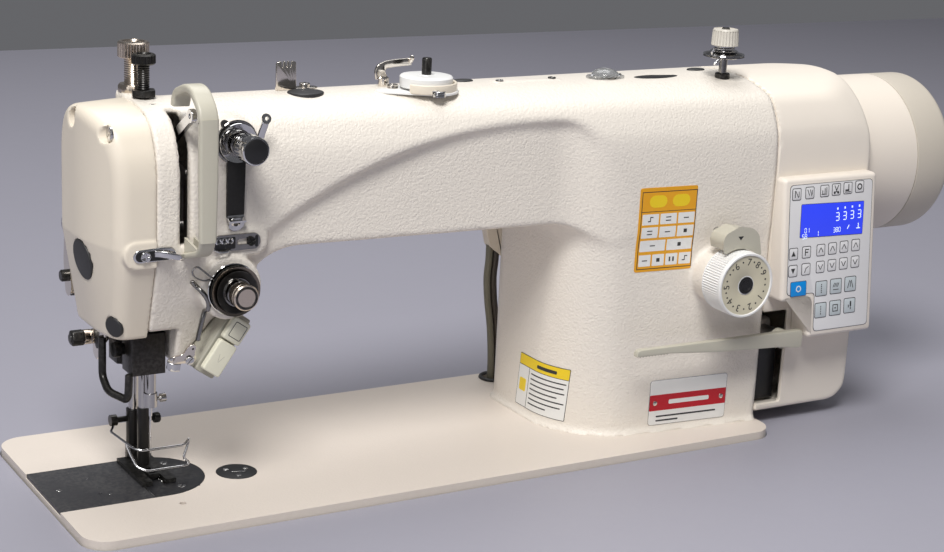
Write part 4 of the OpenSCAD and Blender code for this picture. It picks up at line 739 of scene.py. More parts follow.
def arm_section(x, y, z):
    """Distance outside the section across the bed: half planes whose points move from head to column."""
    t = np.clip((x - TAPER_X0) / (TAPER_X1 - TAPER_X0), 0, 1)
    foot = 20 * np.clip((60 - x) / 170, 0, 1)
    head = [(33.7, 60), (33.7, 204), (30, 216), (22, 225), (10, 228), (0, 228), (-12, 226.5), (-29, 219),
            (-36.5, 208), (-40.3, 196), (-40.3, 145)]
    column = [(55.4, 60), (55.4, 186), (53.5, 200), (46, 217), (30, 226), (0, 229.3), (-15, 229.3),
              (-38, 226), (-56, 219), (-66, 201), (-69, 186), (-68.5, 140)]
    head.insert(0, (33.7, 0))
    points = []
    for (ya, za), (yb, zb) in zip(head, [(55.4, 0)] + column[1:]):
        points.append((ya + t * (yb - ya), za + t * (zb - za)))
    points.append((-40.3 + foot + t * (-67.3 + 40.3), 74 - 74 * t))
    return convex(y, z, points, 4.0)


def corner(a, b, r):
    """Distance outside two walls with a corner of radius r, from the distances a and b outside each."""
    a, b = a + r, b + r
    return np.hypot(np.maximum(a, 0), np.maximum(b, 0)) + np.minimum(np.maximum(a, b), 0) - r


def column_plan(x, y, z):
    """Distance outside the column seen from above: a box with two round corners, wider at its foot."""
    r = np.maximum(49 - 0.112 * z, 28)
    back = 22.0
    face = -59.3 - 0.089 * (x - 141.6)
    left, front, rear = 94 - x, face - y, y - 55.4
    return np.maximum(corner(left, front, r), corner(left, rear, back))


def block(x, y, z, low, high, k=1.0):
    """Distance outside a box with softened edges."""
    d = None
    for v, a, b in zip((x, y, z), low, high):
        e = np.maximum(a - v, v - b)
        d = e if d is None else smax(d, e, k)
    return d


def arm_field(x, y, z):
    """Distance outside the casting: section and plan joined with fillets, bosses added, hollows cut."""
    foot_edge = ((x - EDGE_X) * EDGE_RISE - (z - EDGE_Z) * EDGE_RUN) / EDGE_LONG
    under = smax(smin(UNDER - z, foot_edge, 18), 74 - z, 1.5)
    hollow = smax(np.hypot(x - 65, z + 99) - 310, x - 134, 40)
    hollow = smax(hollow, y + 36 + 0.04 * (x + 121), 9)
    flare = np.clip(5 - z, 0, 5) ** 2 / 9
    shape = smin(smax(under, -hollow, 3), column_plan(x, y, z) - flare, 20)
    body = smax(arm_section(x, y, z) - flare, shape, 3)
    ring = smax(np.hypot(x - TENSION[0], z - TENSION[1]) - 19, np.maximum(-44.3 - y, y + 24), 2.5)
    body = smin(body, ring, 5)
    pads = np.hypot(np.maximum(np.maximum(x + 121.5, -139 - x), 0), z - 149.5) - 8.2
    body = smin(body, smax(pads, np.maximum(-41.7 - y, y + 30), 1.2), 1.5)
    boss = smax(np.hypot(x - DIAL[0], z - DIAL[1]) - 18.4, np.maximum(-76 - y, y + 50), 2)
    body = smin(body, boss, 2.5)
    upper = smax(np.hypot(x - UPPER[0], z - UPPER[1]) - 13.5, np.maximum(-42 - y, y + 24), 2)
    body = smin(body, upper, 4)
    nut = smax(np.hypot(x - NX, y - PRESS_Y) - 10.5, np.maximum(z - TOP, 200 - z), 1)
    body = smin(body, nut, 4)
    body = np.maximum(body, HEAD_X0 - x)
    body = smax(body, x - COL_X1, 2)
    body = np.maximum(body, -0.9 - z)
    # lug that carries the reverse lever's shaft
    lug = block(x, y, z, (COL_X1 - 1, -52, 48), (COL_X1 + 20, -38, 66), 3)
    body = np.minimum(body, lug)
    # hollow of the head, opening for the bar block, slot for the take-up lever, hollows of arm and column
    cavity = smax(block(x, y, z, (HEAD_X0 - 4, HEAD_Y0 + 8, 96), (HEAD_X1 - 7, HEAD_Y1 - 6, 221), 4),
                  foot_edge + 8, 3)
    cavity = smax(cavity, -19.5 + (z - 74) * -0.29 - y + 6, 3)
    cavity = smax(smax(cavity, (z - y - 238.3) / 1.414, 4), (z + y - 242.3) / 1.414, 1.5)
    body = smax(body, -cavity, 1)
    body = smax(body, -block(x, y, z, (HEAD_X0 - 4, NY - 50, 60), (NX + 9.3, NY + 34, 97), 1), 1)
    slot = np.minimum(block(x, y, z, (NX + 4.8, -60, 150), (NX + 11.2, -20, 222), 1),
                      block(x, y, z, (NX + 4.8, -60, 205), (NX + 11.2, NY - 8, 240), 1))
    body = smax(body, -slot, 1)
    inner = block(x, y, z, (COL_X0 + 22, -38, -8), (COL_X1 - 7, 41, 212), 6)
    return smax(body, -inner, 1.5)


def skinned(name, low, high, step, field, material, *stands_for, slot, body="frame", sharp=32):
    """Piece made of a distance field's zero surface, each vertex slid along the field's slope onto it."""
    p, quads = skin(low, high, step, field)
    e = 0.2
    for _ in range(3):
        x, y, z = p.T
        f = field(x, y, z)
        g = np.stack([field(x + e, y, z) - f, field(x, y + e, z) - f, field(x, y, z + e) - f], 1) / e
        move = -(f / np.maximum((g * g).sum(1), 0.25))[:, None] * g
        p = p + np.clip(move, -0.5 * step, 0.5 * step) * 0.9
    return Piece(name, body).faces(p, quads, material).make(*stands_for, slot=slot, sharp=sharp)


ARM_STEP = 2.0
skinned("arm_and_column", (HEAD_X0 - 2, -80, -2), (COL_X1 + 24, 60, 234), ARM_STEP, arm_field,
        "casting_paint", "arm_casting", slot="cast_paint", sharp=None)


def cover_left(z):
    """Left face of the plastic cover, drawn in below the head's middle."""
    return -213.5 + 0.165 * np.maximum(150 - z, 0)


def cover_outer(x, y, z):
    """Distance outside the cover's outer shape: the arm's section cut by a left face, a bottom and a back."""
    left = cover_left(z)
    shift = left + 213.5
    face = smax(left - x, ((-204 + shift - x) * 25.5 - (y + 37.5) * 9) / 27.04, 6)
    d = smax(arm_section(x * 0 - 150, y, z + 0.012 * (HEAD_X0 - x) * 6), face, 7)
    return smax(smax(d, 93 - z, 2.5), y - 31.5, 3)


def cover_field(x, y, z):
    """Distance outside the cover's 3 mm shell, with its pad, screw recesses and plug holes."""
    d = cover_outer(x, y, z)
    pad = smax(np.hypot(np.maximum(-193 - x, 0), z - 146.6) - 7.8, np.maximum(-41.1 - y, y + 36), 1.2)
    d = smin(d, pad, 1.5)
    d = np.maximum(d, x - HEAD_X0 + 0.5)
    d = np.maximum(d, -(cover_outer(x, y, z) + 3))
    for yc, zc, r in COVER_WELLS:
        well = np.hypot(y - yc, z - zc)
        wall = np.maximum(well - r - 2, x + 200)
        d = np.minimum(d, smax(cover_outer(x, y, z), wall, 0.5))
        d = smax(d, -smax(well - r, x + 203.5, 0.5), 0.8)
    for yc, zc, r, deep in COVER_HOLES:
        d = smax(d, -np.maximum(np.hypot(y - yc, z - zc) - r, x - deep), 0.4)
    return d


skinned("end_cover", (-216, -44, 91), (HEAD_X0, 34, 230), 1.1, cover_field,
        "cover_plastic", "face_cover", slot="cover_plastic", sharp=40)


def motor_section(x, y, z):
    """The column's end section, cut by a cone round the motor's axis."""
    end = arm_section(x * 0 + TAPER_X1, y, z)
    cone = np.hypot(y - NY, z - SHAFT_Z) - (65.2 + 0.29 * (316 - x))
    return smax(end, cone, 3)


def motor_field(x, y, z):
    """Distance outside the motor cover: hood and lower box joined, hollowed, cut by the drum's bores."""
    hood = smax(motor_section(x, y, z), 100 - z, 6)
    foot = np.hypot(np.maximum(x - 298, 0), np.maximum(24 - z, 0)) - 20
    low = smax(arm_section(x * 0 + TAPER_X1, y, z), foot, 3)
    low = smax(smax(low, z - 116, 4), 4 - z, 3)
    low = smax(low, x - 316.5, 3)
    d = smin(hood, low, 8)
    d = smax(d, x - 317.2, 3)
    inside = smax(d + 3.2, 240.5 - x, 1)
    d = np.maximum(np.maximum(d, 237.4 - x), -inside)
    d = np.maximum(d, -np.maximum(np.hypot(y - NY, z - SHAFT_Z) - 56.1, 268 - x))
    d = np.maximum(d, -np.maximum(np.hypot(y - NY, z - SHAFT_Z) - 40, x - 262))
    window = block(x, y, z, (230, -90, 10), (258, -38, 75), 2)
    return np.maximum(d, -window)


skinned("motor_hood", (237, -74, 2), (319, 60, 232), 1.7, motor_field, "motor_plastic",
        "motor_cover", slot="motor_plastic", sharp=45)

# -------------------- small helpers for fittings


def body_of(node):
    """Body that a CAD node rides on."""
    return NODES[node]["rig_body"]


def screw(piece, centre, normal, r, h, material="chrome", roll=0.6, up=UP, cross=False):
    """Screw head: a disc with segments raised on it, which leave one slot or two crossing slots."""
    n, centre = unit(normal), np.asarray(centre, float)
    piece.slab(disc(r, 28), 0.5 * h, centre, n, material, soft=0.04, up=up)
    gap = 0.15 * r
    low = math.asin(gap / r)
    high = math.pi / 2 - low if cross else math.pi - low
    a = np.linspace(low, high, 12)
    rim = np.stack([np.cos(a), np.sin(a)], 1) * r
    if cross:
        rim = np.concatenate([rim, [(gap, gap)]])
    for k in range(4 if cross else 2):
        turn = roll + k * math.pi / (2 if cross else 1)
        piece.slab(rim, 0.52 * h, centre + 0.48 * h * n, n, material, soft=0.12 * r, up=up, roll=turn)
    return piece


def on_surface(start, ahead, reach=60.0):
    """Places where rays from start meet the casting, by halving."""
    start, ahead = np.broadcast_arrays(np.asarray(start, float), np.asarray(ahead, float))
    a, b = np.zeros(start.shape[:-1]), np.full(start.shape[:-1], reach)
    for _ in range(20):
        m = (a + b) / 2
        q = start + ahead * m[..., None]
        free = arm_field(q[..., 0], q[..., 1], q[..., 2]) > 0
        a, b = np.where(free, m, a), np.where(free, b, m)
    return start + ahead * a[..., None]


def front_place(x, z, lift=0.0):
    """Place on the casting's front in line with (x, z), lift in front of it."""
    return np.array((x, on_surface((x, BEFORE, z), REAR)[1] - lift, z))


def crown_place(x, y, lift=0.0):
    """Place on the casting's crown above (x, y), lift higher than it."""
    return np.array((x, y, on_surface((x, y, ABOVE), DOWN)[2] + lift))


def sticker(piece, x0, x1, z0, z1, place, lift, material, r=1.0, across=10, tall=8):
    """Thin sheet laid on the casting: a round-cornered rectangle dropped along rays onto it."""
    a = np.linspace(0, np.pi / 2, 4)
    end, straight = r * (1 - np.cos(a)), np.linspace(z0 + r, z1 - r, tall)[1:-1]
    rows = np.concatenate([z0 + end, straight, (z1 - end)[::-1]])
    inset = np.concatenate([r * (1 - np.sin(a)), np.zeros(tall - 2), r * (1 - np.sin(a[::-1]))])
    s = np.linspace(0, 1, across)
    x = x0 + inset[:, None] + s[None] * (x1 - x0 - 2 * inset[:, None])
    z = np.broadcast_to(rows[:, None], x.shape)
    start, ahead = place(x, z)
    hit = on_surface(start, ahead)
    front, back = hit - ahead * lift, hit + ahead * 0.25
    piece.grid(np.concatenate([front, back[:, ::-1]], 1), material)
    return piece


def from_front(x, z):
    """Rays that run to the rear from in front of the casting."""
    return np.stack([x, np.full(x.shape, BEFORE), z], -1), np.broadcast_to(REAR, x.shape + (3,))


def round_corner(s, z):
    """Rays at a distance s along the column's left wall and then round its front corner."""
    r = 49 - 0.112 * z
    turn = np.pi + np.maximum(s, 0) / r
    middle = np.stack([94 + r, np.full(s.shape, -59.3 - 0.12 + r), z], -1)
    out = np.stack([np.cos(turn), np.sin(turn), np.zeros(s.shape)], -1)
    back = np.stack([np.zeros(s.shape), -np.minimum(s, 0), np.zeros(s.shape)], -1)
    return middle + out * (r + 20)[..., None] + back, -out


def thread_profile(r, z0, z1, pitch=1.3, depth=0.4):
    """Zigzag of (radius, height): the outline of a thread."""
    n = int((z1 - z0) / pitch * 2) + 1
    z = np.linspace(z0, z1, n)
    return [(r - (depth if k % 2 else 0.0), h) for k, h in enumerate(z)]


def knurl(count, depth, low, high):
    """Scale of the radius for straight knurling with count teeth between two heights."""
    return lambda a, h: 1 - depth * ((h >= low) & (h <= high)) * (0.5 + 0.5 * np.cos(count * a))


# -------------------- pieces that keep the frame's own shape

for node, material, bevel, slot in (
    ("bed_casting", "bed_paint", 0.9, "cast_paint"), ("needle_plate", "plate_black", 0.2, "black_steel"),
    ("slide_plate", "slide_grey", 0.2, "black_steel"), ("rear_cover", "bed_paint", 0.7, "cast_paint"),
    ("needle_bar", "bar_chrome", 0.25, "chrome"), ("walking_foot", "black_steel", 0.25, "black_steel"),
    ("presser_foot", "black_steel", 0.25, "black_steel"),
    ("walking_bar", "bar_chrome", 0.2, "chrome"), ("presser_bar", "bar_chrome", 0.25, "chrome"),
    ("takeup_lever", "chrome", 0.3, "chrome"), ("feed_dog", "steel", 0.12, "steel"),
    ("trimmer_solenoid", "black_steel", 0.5, "black_steel"),
):
    softened(node, body_of(node), material, bevel)

for node, material in (
    ("needle", "chrome"), ("swing_frame", "cast_iron"), ("needle_link", "inner_steel"),
    ("main_shaft", "inner_steel"), ("shaft_bushes", "bronze"), ("upper_pulley", "inner_steel"),
    ("timing_belt", "rubber"), ("lower_shaft", "inner_steel"), ("rotary_hook", "steel"),
    ("bobbin_case", "steel"), ("bobbin", "steel"), ("feed_rock_shaft", "inner_steel"),
    ("feed_lift_shaft", "inner_steel"),
):
    mesh = NODES[node].data
    mesh.materials.clear()
    mesh.materials.append(MATERIALS[material])

# -------------------- bed and base fittings


def make_bed_fittings():
    """Caps, plugs and screws of the bed, the crown, the end cover and the rear cover."""
    cap = np.array((NX + 50.2, NY - 12.7))
    piece = Piece("bed_cap")
    piece.slab(disc(12.4, 56), 2.6, (*cap, -2.35), UP, "black_plastic", soft=0.3, up=REAR)
    for a in (0.3, 2.4, 4.5):
        place = (cap[0] + 7 * math.cos(a), cap[1] + 7 * math.sin(a), 0.15)
        screw(piece, place, UP, 1.7, 0.5, "steel", roll=a, up=REAR)
    piece.slab(rounded_box(9, 1.1, 0.5), 0.3, (cap[0] + 1, cap[1] - 1, 0.2), UP, "steel", soft=0.1,
               up=(0.3, 1, 0))
    # the other plugs: three on the crown and two in the end cover
    plugs = (-74, NY + 3.3, 10, 1.12), (40, NY + 14, 4.5, 1.5), (COL_X1 - 19, NY + 9.8, 4.5, 1.5)
    for x, y, r, oval in plugs:
        piece.slab(disc(r, 48) * (oval, 1), 2.6, crown_place(x, y, -1.6), UP, "rubber", soft=0.9, up=REAR,
                   steps=5)
    for (y, z, *_), r in zip(COVER_HOLES, (12.1, 6.25)):
        x = np.linspace(-216, -190, 2601)
        x = x[np.argmax(cover_outer(x, x * 0 + y, x * 0 + z) < 0)]
        e = 0.5
        p = np.array((x, y, z))
        ends = [(p + step, p - step) for step in np.eye(3) * e]
        n = unit(np.array([cover_outer(*a[:, None])[0] - cover_outer(*b[:, None])[0] for a, b in ends]))
        piece.slab(disc(r, 56), 1.9, p - 1.5 * n, n, "rubber", soft=0.7, steps=4)
    for y, z, _ in COVER_WELLS:
        screw(piece, (-203.3, y, z), LEFT, 4.2, 1.4, "steel", roll=y)
    piece.make("cover_plugs", slot="rubber")
    piece = Piece("plate_screws")
    for x, y in ((NX + 11.5, NY - 21), (NX + 15, NY + 18)):
        screw(piece, (x, y, -0.75), UP, 2.6, 0.85, "steel", roll=0.8, up=REAR)
    screw(piece, (NX - 56, NY, -0.8), UP, 1.9, 0.9, "steel", roll=0.2, up=REAR)
    # bright ground edge between the two plates, and two dowels in the sliding one
    low, high = span("needle_plate")
    edge = rounded_box(0.7, high[1] - low[1] - 3, 0.2, 2)
    piece.slab(edge, 0.16, (low[0] + 0.2, (low[1] + high[1]) / 2, 0.0), UP, "steel", soft=0.05, up=REAR)
    for x, y in ((NX - 31, NY - 17), (NX - 35, NY + 12)):
        piece.slab(disc(0.9, 16), 0.14, (x, y, 0.0), UP, "steel", soft=0.05, up=REAR)
    piece.make(slot="black_steel")
    piece = Piece("rear_cover_screws")
    for x in (COL_X0 + 37, COL_X1 - 21):
        for z in (27, 153):
            screw(piece, (x, COL_Y1 + 3, z), REAR, 3.8, 2.0, "steel", roll=x * 0.3)
    piece.make(slot="steel")


make_bed_fittings()

# -------------------- motor, handwheel, panel


def make_motor():
    """Motor drum and handwheel, turned round the arm shaft's axis; the two share their outer radius r."""
    r = 55.5
    x0 = COL_X1 + 30
    length = 99.0
    piece = Piece("motor_drum")
    outline = [(30, 0), (55.2, 0), (r, 0.4), (r, 49.2), (55.2, 49.5), (55.2, 50.1), (r, 50.4),
               (r, length - 0.6), (54.9, length), (9.2, length), (9.2, length - 8), (33, length - 8), (33, 6),
               (30, 5)]
    piece.turned(outline, (x0, NY, SHAFT_Z), RIGHT, "motor_paint", turns=128, wrap=True)
    piece.turned([(30.2, 0), (38, 0), (38, 31), (30.2, 31)], (COL_X1 + 0.1, NY, SHAFT_Z), RIGHT,
                 "motor_paint", turns=64, wrap=True)
    piece.make("motor_housing", slot="motor_paint", sharp=30)
    w = span("handwheel")
    x0, wide = w[0][0], w[1][0] - w[0][0]
    piece = Piece("handwheel_rim", body_of("handwheel"))
    a = np.linspace(0, np.pi / 2, 9)
    edge = [(r - 6 * (1 - math.cos(t)), wide - 6 * (1 - math.sin(t))) for t in a]
    outline = [(7.05, 0), (54.4, 0), (55.3, 0.4), (r, 1.2), *edge, (46, wide), (44.4, wide - 0.8),
               (43.6, wide - 2.4), (43.2, 16), (41, 14), (22, 14), (18.6, 15.5), (18, 18), (17.6, wide - 4.5),
               (16, wide - 3.2), (7.05, wide - 3.2)]
    piece.turned(outline, (x0, NY, SHAFT_Z), RIGHT, "wheel_plastic", turns=144, wrap=True)
    for k in range(6):
        t = k * math.pi / 3
        c = (x0 + 13.9, NY + 31 * math.cos(t), SHAFT_Z + 31 * math.sin(t))
        side = (0, -math.sin(t), math.cos(t))
        piece.slab(rounded_box(3.4, 23, 1.2), 5.0, c, RIGHT, "wheel_plastic", soft=0.8,
                   up=np.cross(side, RIGHT))
    screw(piece, (x0 + wide - 3.3, NY, SHAFT_Z), RIGHT, 6.2, 2.4, "steel")
    piece.make("handwheel", slot="grey_plastic", sharp=30)


make_motor()


def seven(piece, digit, centre, h, u, v, n, material):
    """Seven-segment figure, each segment a thin bar."""
    on = {3: "abcdg", 1: "bc", 8: "abcdefg", 5: "acdfg", 0: "abcdef"}[digit]
    w = 0.52 * h
    t = 0.11 * h
    bars = {"a": (0, h / 2, 1), "g": (0, 0, 1), "d": (0, -h / 2, 1), "b": (w / 2, h / 4, 0),
            "c": (w / 2, -h / 4, 0), "f": (-w / 2, h / 4, 0), "e": (-w / 2, -h / 4, 0)}
    for key in on:
        du, dv, flat = bars[key]
        size = (w * 0.9, t) if flat else (t, h * 0.42)
        place = np.asarray(centre) + du * u + dv * v
        piece.slab(rounded_box(*size, 0.35 * t, 2), 0.08, place, n, material, soft=0.02, up=v, steps=1)


def make_panel():
    """Leaning operating panel: a case swept back from its face, then keys and display laid on it."""
    x0, x1 = COL_X1 + 0.5, COL_X1 + 79.5
    top, low = 168.0, 60.0
    y_top, lean = NY - 69.7, 9.5
    tall = math.hypot(top - low, lean)
    n = unit((0, -(top - low), lean))
    v = unit((0, lean, top - low))
    u = np.array((1.0, 0, 0))
    origin = np.array((x0, y_top, top))

    def at(a, b, lift=0.0):
        """Place a to the right of and b below the face's upper left corner."""
        return origin + a * u - b * v + lift * n

    wide = x1 - x0
    notch_u, notch_v = 23.5, 82.0
    outline = [(0, 0), (0, -notch_v), (notch_u, -notch_v), (notch_u, -tall), (wide, -tall), (wide, 0)]
    outline = soft_line(outline, 3.2, 5, closed=True)
    piece = Piece("panel_case")
    rows = []
    for inset, back in ((0.0, 15.0), (0.0, 3.2), (0.25, 1.9), (0.8, 0.9), (1.6, 0.25), (2.6, 0.0)):
        before, after = unit(outline - np.roll(outline, 1, 0)), unit(np.roll(outline, -1, 0) - outline)
        t = unit(before + after)
        q = outline + np.stack([-t[:, 1], t[:, 0]], 1) * inset
        face = origin + q[:, :1] * u + q[:, 1:] * v
        if back > 5:
            face[:, 1] = -67.6
        else:
            face = face - back * n
        rows.append(face)
    piece.grid(np.stack(rows), "panel_housing")
    piece.make("control_panel", slot="panel_plastic", sharp=30)

    def inner(gap):
        """Outline of the case's face drawn in by a gap."""
        corners = [(gap, -gap), (gap, -notch_v + gap), (notch_u + gap, -notch_v + gap),
                   (notch_u + gap, -tall + gap), (wide - gap, -tall + gap), (wide - gap, -gap)]
        return soft_line(corners, 3.0, 5, closed=True)

    piece = Piece("panel_membrane_and_painted_shade")
    # two black sheets in the opening between the column and the motor box: painted shade of the opening's
    # depth
    piece.slab(rounded_box(20, 66, 1, 3), 1.5, (248.4, -35.5, 42.5), FRONT, "black_plastic", soft=0.3)
    piece.slab(rounded_box(19, 36, 1, 3), 1.5, (248.4, -56.5, 28.5), FRONT, "black_plastic", soft=0.3)
    piece.slab(inner(4.1), 0.22, origin - 0.02 * n, n, "key_outline", soft=0.08, up=v)
    piece.slab(inner(4.45), 0.30, origin - 0.02 * n, n, "panel_film", soft=0.08, up=v)

    def key(a, b, w, h, film="panel_film", mark=None):
        """Flat key at (a, b): a dark rim, a film on it and printed outlines on top."""
        piece.slab(rounded_box(w, h, 1.1, 3), 0.42, at(a, b), n, "key_outline", soft=0.1, up=v, steps=2)
        piece.slab(rounded_box(w - 1.0, h - 1.0, 0.8, 3), 0.5, at(a, b), n, film, soft=0.1, up=v, steps=2)
        if mark is None:
            return
        for shape in mark:
            piece.slab(shape, 0.06, at(a, b, 0.49), n, "print_black", soft=0.01, up=v, steps=1)

    def bar(a, b, w, h, roll=0.0):
        """Outline of one stroke of a printed sign: a thin box at (a, b), turned by roll."""
        return rolled(rounded_box(w + 0.2, h + 0.2, 0.2, 1), roll) + (a, b)

    columns = (7.6, 18.6, 31.2, 41.2, 51.2, 61.4)
    # rows of keys climb a little to the right
    slope = 0.028
    down = lambda a, b: b - slope * (a - 35)
    up_chevron = [bar(-1.0, 0, 0.35, 3.6, -0.5), bar(1.0, 0, 0.35, 3.6, 0.5)]
    down_chevron = [bar(-1.0, 0, 0.35, 3.6, 0.5), bar(1.0, 0, 0.35, 3.6, -0.5)]
    top_marks = (
        [bar(-1.4, 0.2, 0.4, 4.6), bar(0.2, 0, 0.35, 5.0, 0.5), bar(1.8, 0, 0.3, 3.6)],
        [bar(-1.2, 0.3, 0.35, 4.4, 0.4), bar(0.9, 0, 0.35, 4.6, 0.3), bar(2.0, 0.3, 0.3, 3.0)],
        [bar(-1.8, -0.6, 0.35, 2.2), bar(0.2, 0.2, 0.35, 3.6), bar(1.6, 0.5, 0.35, 3.8),
         bar(-0.4, -2.1, 4.4, 0.35)],
        [bar(-0.5, 0.6, 0.4, 5.0, 0.45), bar(0.7, 0.6, 0.4, 5.0, -0.45), disc(0.9, 12, (-1.4, -2.0)),
         disc(0.9, 12, (1.5, -2.0))],
        [bar(0.6, 0.7, 0.5, 4.0), bar(-0.6, -1.4, 3.2, 0.9), bar(0, -2.6, 5.2, 0.3)],
        [disc(2.2, 20)],
    )
    for a, mark in zip(columns, top_marks):
        key(a + 2.0, down(a, 9.6), 7.6, 8.2, mark=mark)
    piece.slab(disc(1.3, 16), 0.08, at(columns[5] + 2.0, down(columns[5], 9.6), 0.5), n, "panel_film",
               soft=0.01, up=v)
    solid_up = [[(-1.8, -1.6), (1.8, -1.6), (0, 1.9)]]
    solid_down = [[(-1.8, 1.6), (0, -1.9), (1.8, 1.6)]]
    curve_mark = [bar(-0.6, -0.8, 0.35, 3.2, -0.35), bar(1.0, 1.2, 0.35, 2.6, -1.0)]
    box_mark = [bar(-1.0, 0, 0.5, 4.4), bar(0.5, 1.9, 2.8, 0.5), bar(0.2, 0, 2.2, 0.5)]
    for b, marks in ((49.2, (solid_up, box_mark)), (60.6, (solid_down, curve_mark))):
        for a, mark in zip(columns[:2], marks):
            key(a + 0.9, down(a, b), 7.6, 8.2, mark=mark)
        for a in columns[2:]:
            key(a + 0.6, down(a, b), 7.4, 8.2, mark=up_chevron if b < 55 else down_chevron)
    blue = (13.6, down(13.6, 73.2))
    piece.slab(rounded_box(13.6, 10.2, 0.9, 3), 0.5, at(*blue), n, "key_outline", soft=0.1, up=v)
    piece.slab(rounded_box(13.0, 9.6, 0.8, 3), 0.6, at(*blue), n, "blue_key", soft=0.15, up=v)
    for r, thick, material in ((2.2, 0.06, "label_white"), (1.4, 0.09, "blue_key")):
        piece.slab(disc(r, 24), thick, at(*blue, 0.59), n, material, soft=0.01, up=v, steps=1)
    stitch = (
        [bar(0, 2.6 - 1.3 * k, 0.5, 0.8) for k in range(5)],
        [bar(-1.9 + 1.25 * k, 0.9, 0.35, 3.0, -0.4) for k in range(4)] + [bar(0, -2.2, 4.8, 0.35)],
        [bar(-1.5, 0, 0.4, 5.4, -0.3), bar(1.5, 0, 0.4, 5.4, 0.3), bar(0, 0, 0.35, 4.0)],
        [bar(0, 2.4 - 1.6 * k, 0.4, 1.0) for k in range(4)],
        [bar(d, 0, 0.4, 4.4) for d in (-2, 2)] + [bar(0, d, 4.4, 0.4) for d in (2.2, -2.2)] + [disc(0.6, 10)],
        [bar(0.8, 1.2, 1.0, 3.4), bar(-1.0, -0.4, 0.5, 1.8), bar(0.8, -1.8, 0.5, 1.8)],
    )
    for row, b in enumerate((75.4, 90.2)):
        for col, a in enumerate((33.4, 46.0, 58.6)):
            key(a, down(a, b), 10.2, 10.6, film="key_film", mark=stitch[3 * row + col])
    # display
    middle = at(40.6, down(40.6, 29.4))
    piece.slab(rounded_box(54.2, 22.6, 0.8, 3), 0.44, middle, n, "key_outline", soft=0.08, up=v, roll=-slope)
    piece.slab(rounded_box(53.6, 22.0, 0.6, 3), 0.52, middle, n, "display", soft=0.06, up=v, roll=-slope)
    for k in range(4):
        a = 45.0 + 6.3 * k
        seven(piece, 3, at(a, down(a, 28.0), 0.5), 5.2, u, v, n, "display_ink")
        piece.slab(rounded_box(1.1, 1.5, 0.3, 2), 0.08, at(a, down(a, 22.6), 0.5), n, "display_ink",
                   soft=0.02, up=v, steps=1)
    for a, b, digit, h in (
        (18.0, 34.6, 0, 3.0), (20.2, 34.6, 1, 3.0), (16.2, 38.6, 5, 3.0), (18.4, 38.6, 8, 3.0),
        (28.0, 37.6, 1, 3.4), (42.6, 36.8, 3, 3.0), (44.8, 36.8, 8, 3.0), (47.0, 36.8, 0, 3.0),
    ):
        seven(piece, digit, at(a, down(a, b), 0.5), h, u, v, n, "display_ink")
    for shape, a, b in ((bar(0, 0, 0.4, 3.0, -0.6), 54.6, 36.0), (bar(0, 0, 3.2, 0.4), 63.4, 37.6),
                        (bar(0, 0, 0.4, 3.6), 63.4, 36.0)):
        piece.slab(shape, 0.08, at(a, down(a, b), 0.5), n, "display_ink", soft=0.02, up=v, steps=1)
    piece.make(slot="panel_plastic")


make_panel()


